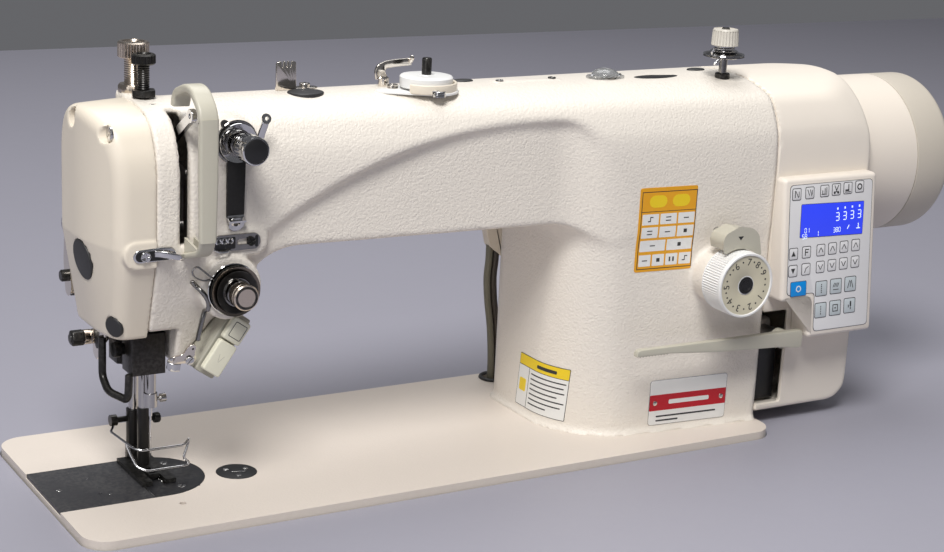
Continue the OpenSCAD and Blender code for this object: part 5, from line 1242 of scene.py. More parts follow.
def make_dial():
    """Stitch dial with its lock tab, and the reverse lever, all turned or raised toward the front."""
    y = NY - 70.2
    centre = (DIAL[0], y, DIAL[1])
    piece = Piece("stitch_dial_wheel", body_of("stitch_dial"))
    face = 20.0
    r = 21.4
    outline = [(0, 0.2), (20.6, 0.2), (r, 0.9), (r, 1.4), (r, 1.5), (r, face - 2.6), (r, face - 2.5),
               (r, face - 0.6), (r - 0.5, face), (r - 1.5, face), (r - 1.9, face - 0.9)]
    piece.turned(outline, centre, FRONT, "white_plastic", turns=480,
                 ripple=knurl(80, 0.04, 1.45, face - 2.55))
    piece.turned([(0, -34), (5.9, -34), (5.9, 1)], centre, FRONT, "black_plastic", turns=40)
    piece.turned([(0, face - 2), (r - 1.8, face - 2), (r - 1.8, face - 0.85), (6.4, face - 0.85),
                  (6.2, face - 0.95)], centre, FRONT, "dial_plastic", turns=96)
    piece.turned([(0, face - 2), (5.6, face - 2), (5.6, face - 0.4), (5.0, face - 0.1), (4.3, face - 0.2),
                  (3.7, face - 0.75), (0, face - 0.75)], centre, FRONT, "black_plastic", turns=48)
    for k in range(6):
        t = k * math.pi / 3
        place = (centre[0] + 2.6 * math.cos(t), y - face + 0.75, centre[2] + 2.6 * math.sin(t))
        piece.slab(disc(0.5, 10), 0.4, place, FRONT, "black_plastic", soft=0.1)
    for number, angle in enumerate((-36, -72, -108, -140, 180, 122, 84, 56, 28), 1):
        t = math.radians(angle)
        place = (centre[0] + 15.4 * math.cos(t), y - face + 0.86, centre[2] + 15.4 * math.sin(t))
        piece.letters(str(number), 6.6, place, FRONT, "print_black", thick=0.08, roll=t - math.pi / 2)
    for angle in (10, -4, -20, -54, -90, -124, -154, -167, 165, 148, 135, 103, 70, 42):
        t = math.radians(angle)
        place = (centre[0] + 15.8 * math.cos(t), y - face + 0.86, centre[2] + 15.8 * math.sin(t))
        piece.slab(disc(0.62, 12), 0.08, place, FRONT, "print_black", soft=0.01, steps=1)
    piece.make("stitch_dial", slot="cover_plastic", sharp=40)
    # sprung tab, hollowed underneath to sit round the dial
    piece = Piece("dial_lock_tab", body_of("dial_lock"))
    a = np.radians(np.linspace(48, 118, 15))
    under = np.stack([24 * np.cos(a), 24 * np.sin(a)], 1)
    run, stops = np.linspace(0, 1, 15), (0, 0.12, 0.5, 0.88, 1)
    upper = np.stack([np.interp(run, stops, (-12.5, -11, -1, 9.5, 13.5)),
                      np.interp(run, stops, (27, 31.5, 35.6, 33.5, 29.5))], 1)
    tab = soft_line(np.concatenate([under, upper]), 1.6, 3, closed=True)
    piece.slab(tab, 16, (DIAL[0] - 1, y + 4.4, DIAL[1]), FRONT, "guard_plastic", soft=1.6, steps=4)
    piece.slab([(-2.2, 1.0), (0, -1.6), (2.2, 1.0)], 0.1, (DIAL[0] - 1, y - 11.58, DIAL[1] + 29.6), FRONT,
               "print_black", soft=0.01, steps=1)
    piece.turned([(0, -24), (3, -24), (3, 0)], (DIAL[0] - 2, y + 4, DIAL[1] + 28.5), FRONT, "inner_steel",
                 turns=24)
    piece.make("dial_lock", slot="grey_plastic")
    # long lever, thumb grip at its free end
    piece = Piece("reverse_lever_arm", body_of("reverse_lever"))
    lx, lz = COL_X1 + 13, 57.0
    x0 = lx + 9 - 134
    tooth = ((0, 0), (0.9, 0.55), (1.7, 0.55))
    teeth = [(x0 + 2.6 * k * 0.9 + d, lz + 4.1 + h - 0.04 * k) for k in range(11) for d, h in tooth]
    whole = [(x0 - 0.2, lz + 4.6)] + teeth[1:] + [
        (lx - 60, lz + 0.6), (lx - 8, lz - 2.2), (lx + 7, lz - 4.2), (lx + 9.4, lz - 3.0),
        (lx + 9.6, lz + 6.4), (lx + 7.6, lz + 8.0), (x0 + 3, lz + 9.0), (x0 + 0.6, lz + 8.5),
        (x0 - 0.2, lz + 7.2),
    ]
    piece.slab(np.array(whole) - (lx, lz), 4.5, (lx, NY - 67.7 - 3.5, lz), FRONT, "guard_plastic", soft=0.5,
               steps=3, back=0.5)
    piece.turned([(0, 0), (5, 0), (5, 30), (0, 30)], (lx, NY - 30.8, lz), FRONT, "inner_steel", turns=32)
    piece.turned([(0, 30), (6.4, 30), (6.4, 36.6), (0, 36.6)], (lx, NY - 30.8, lz), FRONT, "guard_plastic",
                 turns=40)
    piece.make("reverse_lever", slot="grey_plastic")


make_dial()

# -------------------- head fittings


def make_guard():
    """Bent strip in front of the take-up lever: a rounded bar carried along its bend, with two ribs."""
    x = NX + 10.6
    y0 = HEAD_Y0
    line = soft_line([(x - 1.2, y0 + 13.2, TOP + 0.4), (x - 1.0, y0 + 11.0, TOP + 8),
                      (x - 0.4, y0 - 4, TOP + 13.4), (x, y0 - 12.5, TOP + 12.2), (x, y0 - 25.4, TOP + 2),
                      (x, y0 - 25.4, 158), (x, y0 - 20.6, 150.5), (x - 0.6, y0 + 0.6, 144.2)], 9, 6)
    line = curve(line, 2)
    run = np.concatenate([[0], np.cumsum(np.linalg.norm(np.diff(line, axis=0), axis=1))])
    run /= run[-1]
    scale = np.interp(run, (0, 0.1, 0.3, 0.62, 0.8, 0.9, 1), (0.95, 1.0, 1.0, 0.98, 0.84, 0.74, 0.7))
    thick = rounded_box(4.6, 11.4, 1.7, 5)
    piece = Piece("takeup_guard_strip").sweep(line, thick, "guard_plastic", ref=RIGHT, scale=scale)
    for dx in (-3.4, 2.0):
        outline = np.array([(y0 + 0.4, 155.0), (y0 + 0.4, 146.0), (y0 - 14, 149.6),
                            (y0 - 19, 152.2)]) - (y0, 150)
        piece.slab(outline[::-1], 1.6, (x + dx, y0, 150), RIGHT, "guard_plastic", soft=0.4, up=UP)
    piece.make("takeup_guard", slot="grey_plastic", sharp=50)


make_guard()


def make_guides():
    """Thread guides on the head's front, foot and crown, and the strip under the upper tension."""
    piece = Piece("thread_guide_set")
    y = HEAD_Y0
    # left: slotted plate under a screw, its right end curled out to a lip
    base = soft_line([(-193.6, 142.4), (-171.5, 143.4), (-169.6, 147.4), (-172.0, 150.6), (-178, 151.0),
                      (-193.6, 150.2), (-196.4, 146.4)], 2.4, 4, closed=True) - (-182, 146.5)
    piece.slab(base, 1.3, (-182, y - 0.25, 146.5), FRONT, "chrome", soft=0.5, steps=4)
    # black sheet inside the plate's slot: painted shade of the slot's depth
    inner = rounded_box(21, 5.8, 2.8, 5, (-1.8, -0.1))
    piece.slab(inner, 0.25, (-182, y - 1.5, 146.5), FRONT, "black_plastic", soft=0.1)
    screw(piece, (-188.6, y - 1.6, 146.4), FRONT, 3.0, 1.6, "chrome", cross=True, roll=0.3)
    lip = curve([(-183.0, y - 1.2, 147.4), (-180, y - 4.0, 147.6), (-175, y - 6.4, 146.8),
                 (-170, y - 6.6, 145.6), (-167.2, y - 4.6, 144.9)], 5)
    piece.sweep(lip, rounded_box(0.9, 3.6, 0.4, 3), "chrome", ref=UP)
    piece.slab(disc(2.2, 20), 0.3, (-176.6, y - 1.5, 147.3), FRONT, "chrome", soft=0.1)
    # right: plate with an open slot, three thread holes and a screw
    outer = rounded_box(29.4, 9.6, 4.5, 8)
    hole = rounded_box(10.4, 3.2, 1.5, 8)
    mid = np.array((-133.8, y - 1.45, 150.2))
    rows = []
    for o, h in ((outer, 0.0), (outer, 0.9), (outer * 0.975, 1.3), (hole * 1.06 + (5.4, 0.2), 1.3),
                 (hole + (5.4, 0.2), 0.9), (hole + (5.4, 0.2), 0.0)):
        rows.append(mid + np.c_[o[:, 0], np.full(len(o), -h), o[:, 1]])
    piece.grid(np.stack(rows)[:, ::-1], "chrome_dark", wrap_u=True)
    # black sheets on the plate's face and in its three thread holes: painted shade of the openings in the
    # plate
    for w, h, at in ((12.6, 7.0, (-7.4, 0)), (1.9, 7.0, (12.0, 0))):
        piece.slab(rounded_box(w, h, 0.9, 4, at), 0.12, mid + (0, -1.22, 0), FRONT, "black_plastic",
                   soft=0.04)
    for k in range(3):
        piece.slab(rounded_box(2.0, 5.6, 0.9, 3), 0.25, mid + (-11.6 + 3.6 * k, -1.25, -0.2), FRONT,
                   "black_plastic", soft=0.08)
        piece.turned([(1.5, 0), (2.1, 0.3), (1.5, 0.6), (0.9, 0.3)], mid + (-11.6 + 3.6 * k, -1.3, 1.4),
                     FRONT, "chrome", turns=18, wrap=True)
    screw(piece, mid + (8.4, -1.25, 0.2), FRONT, 2.7, 1.7, "black_steel", cross=True, roll=0.5)
    piece.wire([mid + (-14.4, -1.4, -3.4), mid + (-11, -3.2, -4.6), mid + (-6.5, -3.2, -4.4),
                mid + (-4.4, -1.4, -3.6)], 0.6, "chrome", smooth=5)
    # lower: plate on the sloping foot, its left end turned out
    tilt = math.atan2(20, 69)
    n = np.array((0, -math.cos(tilt), -math.sin(tilt)))
    v = np.array((0, -math.sin(tilt), math.cos(tilt)))
    o = front_place(-164.0, 84.0)
    plate = soft_line([(-8.5, -3.6), (-0.5, -3.4), (5.0, -4.4), (7.2, -1.2), (5.4, 2.4), (6.2, 7.4),
                       (3.2, 9.2), (0.4, 7.2), (-1.6, 2.6), (-8.5, 1.6)], 1.8, 4, closed=True)
    piece.slab(plate, 1.2, o, n, "nickel_bright", soft=0.3, up=v)
    turn = ((-8.0, -1.0, 0.6), (-10.8, -1.2, 1.6), (-11.6, -1.4, 4.0), (-9.4, -1.6, 6.2), (-5.4, -1.8, 6.6))
    lip = curve([o + (dx, 0, dz) + lift * n for dx, dz, lift in turn], 5)
    piece.sweep(lip, rounded_box(1.0, 5.2, 0.4, 3), "chrome", ref=v)
    screw(piece, o + (2.4, 0, 0) - 1.4 * v + 1.2 * n, n, 2.7, 1.4, "chrome", up=v, roll=0.9)
    # small black disc: painted shade of a hole in the plate
    piece.slab(disc(0.7, 12), 0.15, o + (3.8, 0, 0) + 6.0 * v + 1.15 * n, n, "black_plastic", soft=0.05, up=v)
    # eyelet arm beside the upper tension, bent forward and up
    a = front_place(NX + 51.0, 206.0, 0.2)
    arm = curve([a + (-4, -0.4, -1.5), a + (0, -1.4, 2.0), a + (1.6, -3.0, 8.0), a + (2.6, -4.6, 13.0)], 5)
    piece.sweep(arm, rounded_box(4.4, 1.5, 0.6, 3), "chrome", ref=(0, -1, 0.2))
    piece.turned([(1.2, 0), (2.9, 0.2), (3.1, 0.8), (2.9, 1.4), (1.2, 1.6)], a + (2.9, -4.2, 15.2),
                 (0.1, -1, 0.25), "chrome", turns=24, wrap=True)
    # notched plate on the crown
    g = crown_place(-82, NY + 14)
    plate = soft_line([(-6.6, 0), (6.6, 0), (6.2, 16.8), (4.4, 17.4), (3.2, 17.4), (2.9, 13.6), (2.3, 13.6),
                       (2.0, 17.4), (0.6, 17.4), (0.3, 13.6), (-0.3, 13.6), (-0.6, 17.4), (-2.0, 17.4),
                       (-2.3, 13.6), (-2.9, 13.6), (-3.2, 17.4), (-5.0, 17.4), (-6.4, 16.2)], 0.5, 2,
                      closed=True)
    piece.slab(plate, 1.4, g + (0, 0.7, 0.1), FRONT, "nickel_bright", soft=0.25)
    piece.slab(rounded_box(26, 7.4, 3.2, 5), 1.3, crown_place(-77, NY + 17.5) + (4, 0, -0.1), UP,
               "nickel_bright", soft=0.3, up=REAR)
    screw(piece, crown_place(-68, NY + 17.5, 1.1), UP, 3.3, 2.4, "nickel_bright", up=REAR)
    piece.make("thread_guides", slot="nickel")
    # black strip with an eye at its foot
    piece = Piece("tension_strip")
    u = UPPER
    strip = [(-5.6, -34.5), (5.0, -34.5), (5.8, 6), (-5.8, 6)]
    piece.slab(soft_line(strip, 1.2, 3, closed=True), 1.5, (u[0] - 0.2, HEAD_Y0 - 1.4, 199), FRONT,
               "black_steel", soft=0.3)
    piece.sweep(curve([(u[0] - 0.3, HEAD_Y0 - 2.2, 166.5), (u[0] - 0.3, HEAD_Y0 - 2.9, 164.4),
                       (u[0] - 0.3, HEAD_Y0 - 6.0, 163.0)], 3), rounded_box(10.6, 1.3, 0.5, 3), "chrome",
                ref=(0, 1, 1))
    piece.turned([(1.4, 0), (4.9, 0), (5.1, 0.5), (4.7, 1.1), (2.2, 1.2), (1.4, 0.8)],
                 (u[0] - 0.3, HEAD_Y0 - 3.0, 161.4), (0, -0.9, -0.45), "chrome", turns=28, wrap=True)
    piece.make("tension_bracket", slot="black_steel")


def coil_path(centre, r0, r1, y0, y1, turns, steps=22):
    """Coil round the front-to-back direction, its radius and depth changing evenly."""
    t = np.linspace(0, 1, int(turns * steps) + 1)
    a = 2 * np.pi * turns * t
    r = r0 + t * (r1 - r0)
    return np.stack([centre[0] + r * np.sin(a), y0 + t * (y1 - y0), centre[1] + r * np.cos(a)], 1)


def make_tensions():
    """Upper and main thread tensions and the check spring, their discs turned round front-to-back axes."""
    u, c = UPPER, TENSION
    y = HEAD_Y0
    piece = Piece("upper_tension_set")

    def around(outline, material, c, turns=56, **more):
        """Turned piece round the front-to-back axis through c."""
        piece.turned(outline, (c[0], y, c[1]), FRONT, material, turns=turns, **more)

    around([(0, -8), (2.9, -8), (2.9, 26.6), (2.3, 27.4), (0, 27.4)], "chrome", u, 24)
    for outline, material in (
        ([(3, 1.6), (12.6, 1.6), (12.9, 2.1), (12.4, 2.6), (3, 2.6)], "chrome_dark"),
        ([(3, 2.7), (8.4, 2.9), (11.4, 2.6), (11.6, 3.0), (8.6, 3.5), (3, 3.4)], "black_steel"),
        ([(3, 3.6), (8.2, 3.6), (11.4, 4.5), (11.2, 5.0), (8, 4.6), (3, 4.4)], "chrome"),
        ([(3, 4.5), (7.6, 4.7), (7.9, 5.3), (7.4, 6.0), (3, 6.2)], "chrome_dark"),
    ):
        around(outline, material, u, wrap=True)
    piece.wire(coil_path(u, 6.4, 4.8, y - 6.6, y - 17.0, 3.5), 0.62, "chrome_dark", sides=8)
    piece.make("upper_tension", slot="black_steel")
    piece = Piece("upper_tension_dial", body_of("upper_tension_knob"))
    around([(2.95, 16.9), (7.4, 16.9), (8.2, 17.6), (8.2, 28.0), (8.0, 29.0), (7.3, 29.4), (7.1, 28.9),
            (2.95, 28.9)], "chrome", u, 96, wrap=True, ripple=knurl(24, 0.05, 17.5, 25.5))
    around([(3.0, 26.0), (7.0, 26.0), (7.0, 29.1), (6.4, 29.5), (0, 29.5), (0, 28.0), (3.0, 28.0)],
           "black_plastic", u, 48, wrap=True)
    piece.make("upper_tension_knob", slot="chrome")
    piece = Piece("main_tension_set")
    around([(0, -8), (3.9, -8), (3.9, 24.8), (3.4, 25.4), (0, 25.4)], "brass", c, 32)
    # black bar on the stud's end for its slot: painted shade of the slot
    piece.slab(rounded_box(6.6, 1.0, 0.3), 0.5, (c[0], y - 25.1, c[1]), FRONT, "black_steel", soft=0.1,
               roll=0.9)
    for outline, material in (
        ([(4, 3.6), (13.6, 3.6), (14.2, 4.4), (13.8, 5.4), (4, 5.4)], "chrome_dark"),
        ([(4, 5.5), (15.2, 5.5), (15.4, 5.9), (15.0, 6.3), (4, 6.3)], "chrome"),
        ([(4, 8.6), (9.6, 9.0), (13.8, 8.2), (14.6, 8.3), (14.6, 8.7), (10, 9.8), (4, 9.7)], "black_steel"),
        ([(4, 9.8), (10, 9.9), (14.2, 11.2), (14.8, 11.1), (14.6, 11.7), (9.8, 10.7), (4, 10.6)], "brass"),
        ([(4, 10.7), (9.4, 10.9), (12.4, 12.6), (12.6, 13.1), (11.8, 13.0), (8.8, 11.8), (4, 11.8)],
         "black_steel"),
    ):
        around(outline, material, c, 72, wrap=True)
    around([(4, 11.9), (8.6, 11.9), (8.9, 12.6), (8.4, 13.4), (4, 13.6)], "chrome_dark", c, 48, wrap=True)
    piece.wire(coil_path(c, 7.2, 6.0, y - 14.2, y - 17.6, 1.8), 0.8, "chrome_dark", sides=8)
    piece.make("main_tension", slot="black_steel")
    piece = Piece("main_tension_nut_turned", body_of("main_tension_nut"))
    around([(3.98, 17.3), (6.6, 17.3), (7.5, 18.0), (7.6, 18.6), (7.6, 22.2), (7.2, 22.4), (7.2, 22.9),
            (7.6, 23.1), (7.6, 25.2), (7.0, 25.9), (6.6, 25.9)], "nickel", c, 120,
           ripple=knurl(40, 0.035, 18.5, 22.3))
    around([(3.98, 17.5), (6.9, 17.5), (6.9, 25.2), (6.7, 26.1), (5.4, 26.2), (4.9, 25.2), (4.8, 22.6),
            (3.98, 22.5)], "black_steel", c, 56, wrap=True)
    piece.make("main_tension_nut", slot="nickel")
    piece = Piece("check_spring_wire", body_of("check_spring"))
    x, z = c
    path = curve([(x - 6.8, y - 7.4, z + 3.0), (x - 12, y - 7.5, z + 7.2), (x - 19.5, y - 7.7, z + 13.6),
                  (x - 22.2, y - 7.7, z + 15.6), (x - 24.6, y - 7.5, z + 15.0), (x - 25.4, y - 7.4, z + 12.6),
                  (x - 23.4, y - 7.2, z + 9.4), (x - 18.5, y - 7.1, z + 7.2), (x - 14.6, y - 7.1, z + 7.4)],
                 6)
    piece.wire(path, 0.55, "chrome_dark", sides=8)
    piece.wire(coil_path(c, 6.9, 6.9, y - 6.6, y - 8.2, 2.2), 0.6, "chrome_dark", sides=8)
    piece.turned([(4.05, -0.6), (5.9, -0.6), (5.9, 0.6), (4.05, 0.6)], (x, y - 7.4, z), FRONT, "chrome_dark",
                 turns=32, wrap=True)
    piece.make("check_spring", slot="steel")


def make_switch():
    """Two push keys on a wedge that follows the head's sloping edge."""
    lean = math.atan2(EDGE_RUN, EDGE_RISE)
    along = np.array((math.sin(lean), 0, math.cos(lean)))
    out = np.array((math.cos(lean), 0, -math.sin(lean)))
    foot = np.array((EDGE_X, HEAD_Y0, EDGE_Z))

    def at(a, b, lift=0.0):
        """a up the edge, b away from it, lift in front of the head's face."""
        return foot + a * along + b * out + np.array((0, -lift, 0))

    piece = Piece("switch_body")
    o = soft_line([(0.3, -2.0), (13.8, -2.0), (14.6, 38.6), (0.3, 38.6)], 1.5, 4, closed=True)
    mid = at(5, 0)
    piece.slab(o, 22, (mid[0], HEAD_Y0 + 22, mid[2]), FRONT, "switch_plastic", soft=0.8, up=along)
    piece.make("switch_housing", slot="switch_body")
    for node, low, high, framed in (
        ("half_stitch_button", 0.6, 21.0, False), ("back_tack_button", 22.0, 36.4, True),
    ):
        piece = Piece(node + "_key", body_of(node))
        o = rounded_box(12.4, high - low, 1.6, 5)
        c = at(5 + (low + high) / 2, 7.6)
        piece.slab(o, 3.9, c + (0, -1.8, 0), FRONT, "ivory_plastic", soft=1.1, up=along, steps=5)
        if framed:
            piece.slab(rounded_box(8.6, 9.6, 0.9, 3, (0.3, 0.2)), 0.12, c + (0, -5.66, 0), FRONT,
                       "print_black", soft=0.04, up=along)
            piece.slab(rounded_box(7.8, 8.8, 0.7, 3, (0.3, 0.2)), 0.2, c + (0, -5.66, 0), FRONT,
                       "ivory_plastic", soft=0.1, up=along)
        else:
            for du, dv, roll in ((-0.9, 0, 0.32), (1.0, 0, -0.32)):
                piece.slab(rounded_box(0.35, 5.0, 0.15, 2), 0.1, c + (0, -5.62, 0) + du * out + dv * along,
                           FRONT, "guard_plastic", soft=0.03, up=along, roll=roll)
        piece.slab(rounded_box(6.4, high - low - 4, 1.0, 3), 4.0, c + (0, 3.4, 0), FRONT, "ivory_plastic",
                   soft=0.3, up=along)
        piece.make(node, slot="key_plastic")


make_guides()
make_tensions()
make_switch()


def make_regulators():
    """Two threaded screws with knurled heads over the bars, and their lock nuts."""
    for name, node, y, material, r, stud, heads, teeth in (
        ("foot_regulator", "foot_pressure_screw", PRESS_Y, "nickel", 9.2, 5.4, (247.8, 257.5), 32),
        ("walk_regulator", "walk_pressure_screw", WALK_Y, "black_steel", 7.0, 3.5, (246.5, 252.8), 22),
    ):
        z0, z1 = heads
        piece = Piece(name, body_of(node))
        head = [(stud, z0), (r - 0.9, z0), (r, z0 + 0.9), (r, z0 + 0.95), (r, z1 - 1.05), (r, z1 - 1.0),
                (r - 1.0, z1 - 0.15), (r - 2.6, z1 - 0.1), (r - 3.0, z1 - 0.9), (0, z1 - 0.9)]
        outline = [(0, 215.2), (stud, 215.2)] + thread_profile(stud, 216, z0 - 0.6, 1.25, 0.35) + head
        piece.turned(outline, (NX, y, 0), UP, material, turns=teeth * 5,
                     ripple=knurl(teeth, 0.07, z0 + 0.93, z1 - 1.02))
        # black bar across the head for the screw's slot: painted shade of the slot
        piece.slab(rounded_box(2 * r - 7.5, 1.5, 0.3), 0.3, (NX, y, z1 - 0.95), UP, "black_steel", soft=0.1,
                   up=REAR, roll=0.5)
        piece.make(node, slot=material, sharp=32)
    piece = Piece("lock_nut_pair")
    piece.turned([(5.46, 228.1), (8.6, 228.1), (8.9, 228.6), (8.9, 231.6), (8.2, 232.6), (5.46, 232.6)],
                 (NX, PRESS_Y, 0), UP, "nickel", turns=72, wrap=True, ripple=knurl(12, 0.03, 228.5, 231.7))
    hexagon = soft_line(rolled(disc(7.4, 6), 0.25), 0.4, 2, closed=True)
    piece.slab(hexagon, 4.0, (NX, WALK_Y, 228.1), UP, "black_steel", soft=0.5, up=REAR)
    piece.make("lock_nuts", slot="nickel")


def make_crown():
    """Fittings on the crown: bobbin winder, latch, spool tension, oil sight and small screws."""
    # bobbin winder
    x, y = 2.0, NY - 6.7
    z = float(crown_place(x, y)[2])
    piece = Piece("winder_plate")
    a = np.radians(np.arange(-35, 216, 9.0))
    a = a - 1.0
    pear = np.concatenate([np.stack([np.cos(a), np.sin(a)], 1) * 20, [(-30, 8.5), (-33, 3.5), (-29, -1.5)]])
    pear = soft_line(pear, 3, 3, closed=True)
    piece.slab(pear, 1.5, (x, y, z - 0.35), UP, "white_plastic", soft=0.5, up=REAR)
    ring = np.radians(np.linspace(-150, 20, 40))
    wall = np.stack([x + 18.2 * np.cos(ring), y + 18.2 * np.sin(ring), np.full(40, z + 3.2)], 1)
    piece.sweep(wall, rounded_box(1.6, 5.6, 0.6, 3), "cover_plastic", ref=UP)
    screw(piece, (x - 2.0, y - 19.8, z - 0.2), UP, 4.2, 3.4, "chrome", up=REAR, roll=0.2)
    screw(piece, (x - 19.5, y + 6.5, z + 1.0), UP, 3.3, 2.6, "nickel_bright", up=REAR, roll=1.2)
    piece.make("winder_base", slot="white_plastic")
    piece = Piece("winder_wheel_set", body_of("winder_wheel"))
    top = 236.2
    piece.turned([(0, 214.4), (3, 214.4), (3, z + 2.3), (15.6, z + 2.3), (16.3, z + 3.0), (16.3, top - 1.0),
                  (15.6, top - 0.2), (14.6, top), (4.4, top), (4.1, top + 0.4), (0, top + 0.4)], (x, y, 0),
                 UP, "white_plastic", turns=96)
    piece.turned([(0, top), (3.0, top), (3.0, 246.0), (2.5, 246.8), (0, 246.8)], (x, y, 0), UP, "black_steel",
                 turns=32)
    for k in range(4):
        t = 0.4 + k * math.pi / 2
        c, s = math.cos(t), math.sin(t)
        piece.slab(rounded_box(1.1, 9.0, 0.4, 2), 0.5, (x + 2.75 * c, y + 2.75 * s, 241.6), (c, s, 0),
                   "black_plastic", soft=0.2)
    piece.make("winder_wheel", slot="white_plastic")
    piece = Piece("winder_latch_arm", body_of("winder_latch"))
    lx, ly = x - 20, y + 18.0
    z0 = float(crown_place(lx, ly)[2])
    piece.turned([(0, -0.3), (3.4, -0.3), (3.4, 5.0), (2.6, 5.8), (0, 5.8)], (lx, ly, z0), UP,
                 "nickel_bright", turns=32)
    arm = curve([(lx - 1.0, ly + 1.6, z0 + 4.8), (lx - 1.6, ly + 1.6, z0 + 9.0),
                 (lx + 1.0, ly + 1.6, z0 + 12.2), (lx + 7, ly + 1.6, z0 + 13.4),
                 (lx + 19.5, ly + 1.6, z0 + 14.2)], 6)
    scale = np.interp(np.linspace(0, 1, len(arm)), (0, 0.35, 0.5, 1), (1.7, 1.5, 1.05, 1.0))
    piece.sweep(arm, rounded_box(4.6, 1.5, 0.4, 3), "nickel_bright", ref=REAR, scale=scale)
    piece.wire([(lx + 18.6, ly + 1.0, z0 + 14), (lx + 19.2, ly - 0.5, z0 + 16.4),
                (lx + 18.4, ly - 1.5, z0 + 17.2)], 1.4, "nickel_bright", smooth=4)
    piece.make("winder_latch", slot="nickel")
    # spool tension
    sx, sy = COL_X1 - 17.5, NY - 17.5
    z0 = float(crown_place(sx, sy)[2])
    piece = Piece("spool_tension_set")

    def around(outline, material, turns=56, **more):
        """Turned piece round the spool tension's upright axis."""
        piece.turned(outline, (sx, sy, 0), UP, material, turns=turns, **more)

    around([(0, z0 - 8), (2.7, z0 - 8), (2.7, 260.0), (2.2, 260.6), (0, 260.6)], "chrome_dark", 28)
    around([(3, z0 - 1.2), (4.9, z0 - 1.2), (4.9, z0 + 2.6), (4.4, z0 + 3.2), (3, z0 + 3.2)], "black_steel",
           48, wrap=True)
    around([(3, 240.0), (9, 240.4), (13.2, 242.6), (13.7, 242.8), (13.4, 243.4), (9, 241.6), (3, 241.2)],
           "chrome", 72, wrap=True)
    around([(3, 243.0), (9, 243.0), (13.0, 241.6), (13.7, 241.7), (13.2, 242.4), (9.2, 244.2), (3, 244.2)],
           "chrome_dark", 72, wrap=True)
    around([(3, 244.4), (8.6, 244.6), (9.2, 245.2), (8.6, 245.6), (3, 245.8)], "chrome", 56, wrap=True)
    t = np.linspace(0, 1, 60)
    spring = np.stack([sx + (7 - 1.5 * t) * np.cos(15 * t), sy + (7 - 1.5 * t) * np.sin(15 * t),
                       245.9 + 3.2 * t], 1)
    piece.wire(spring, 0.55, "chrome", sides=8)
    piece.wire([(sx - 12, sy - 4, 243.4), (sx - 14.2, sy - 5.5, 245.6), (sx - 13.2, sy - 6.2, 247.6)], 0.9,
               "chrome", smooth=5)
    piece.wire([(sx - 9, sy - 8, 241.4), (sx - 12.5, sy - 10.5, 240.6), (sx - 15.5, sy - 10.6, 238.4)], 1.0,
               "chrome", smooth=5)
    piece.make("spool_tension", slot="chrome")
    piece = Piece("spool_cap_ribbed", body_of("spool_tension_cap"))
    around([(2.95, 248.8), (8.7, 248.8), (8.9, 249.2), (8.9, 249.3), (8.5, 258.6), (8.4, 258.7), (7.9, 259.6),
            (6.2, 259.9), (6.0, 259.4), (2.95, 259.4)], "cap_plastic", 144, wrap=True,
           ripple=knurl(24, 0.055, 249.25, 258.65))
    piece.make("spool_tension_cap", slot="white_plastic")
    # oil sight
    ox, oy = 138.0, NY
    z0 = float(crown_place(ox, oy)[2])
    piece = Piece("oil_sight_base")
    piece.slab(rounded_box(27, 13.6, 6.6, 8), 1.7, (ox, oy, z0 - 0.2), UP, "sight_clear", soft=0.5, up=REAR)
    piece.turned([(0, -4), (7.3, -4), (7.3, 0.9), (0, 0.9)], (ox, oy, z0), UP, "chrome_dark", turns=40)
    for s in (-10.2, 10.2):
        screw(piece, (ox + s, oy, z0 + 1.5), UP, 2.0, 0.8, "chrome", up=REAR, roll=s)
    piece.make("oil_sight", slot="sight")
    piece = Piece("oil_sight_dome")
    a = np.linspace(0, 0.96, 12) * math.pi / 2
    dome = [(8.9, 1.4)] + [(9.0 * math.cos(t), 1.6 + 4.6 * math.sin(t)) for t in a] + [(0, 6.2)]
    piece.turned(dome, (ox, oy, z0), UP, "sight_clear", turns=56)
    piece.make(slot="sight")
    # black oval sheet beside it, the painted shade of an opening there; small screws let into the crown
    piece = Piece("crown_screws")
    p = crown_place(174.5, -11.5, -0.7)
    piece.slab(disc(1, 48) * (17.0, 5.6), 0.85, p, UP, "black_plastic", soft=0.2, up=REAR)
    p = crown_place(81, -1, -0.55)
    piece.slab(rounded_box(50, 9.5, 2.4, 4), 0.8, p, UP, "casting_paint", soft=0.35, up=REAR)
    for dx in (-19.5, 19.5):
        screw(piece, crown_place(81 + dx, -1, 0.15), UP, 2.6, 1.0, "chrome_dark", up=REAR, roll=dx)
    for px, py, r in ((-164.6, -13.8, 2.0), (-167.7, 0, 2.2), (-128.7, -0.5, 2.6), (-153.7, 9.6, 2.2)):
        p = crown_place(px, py, -1.0)
        piece.slab(disc(r, 24), 1.15, p, UP, "black_steel", soft=0.3, up=REAR)
    piece.slab(disc(2.6, 24), 1.0, front_place(-141.5, 218.5, 0.0) + (0, 0.8, 0.2), (0, -1, 0.9),
               "black_steel", soft=0.3)
    piece.make(slot="black_steel")


make_regulators()
make_crown()

# -------------------- below the head


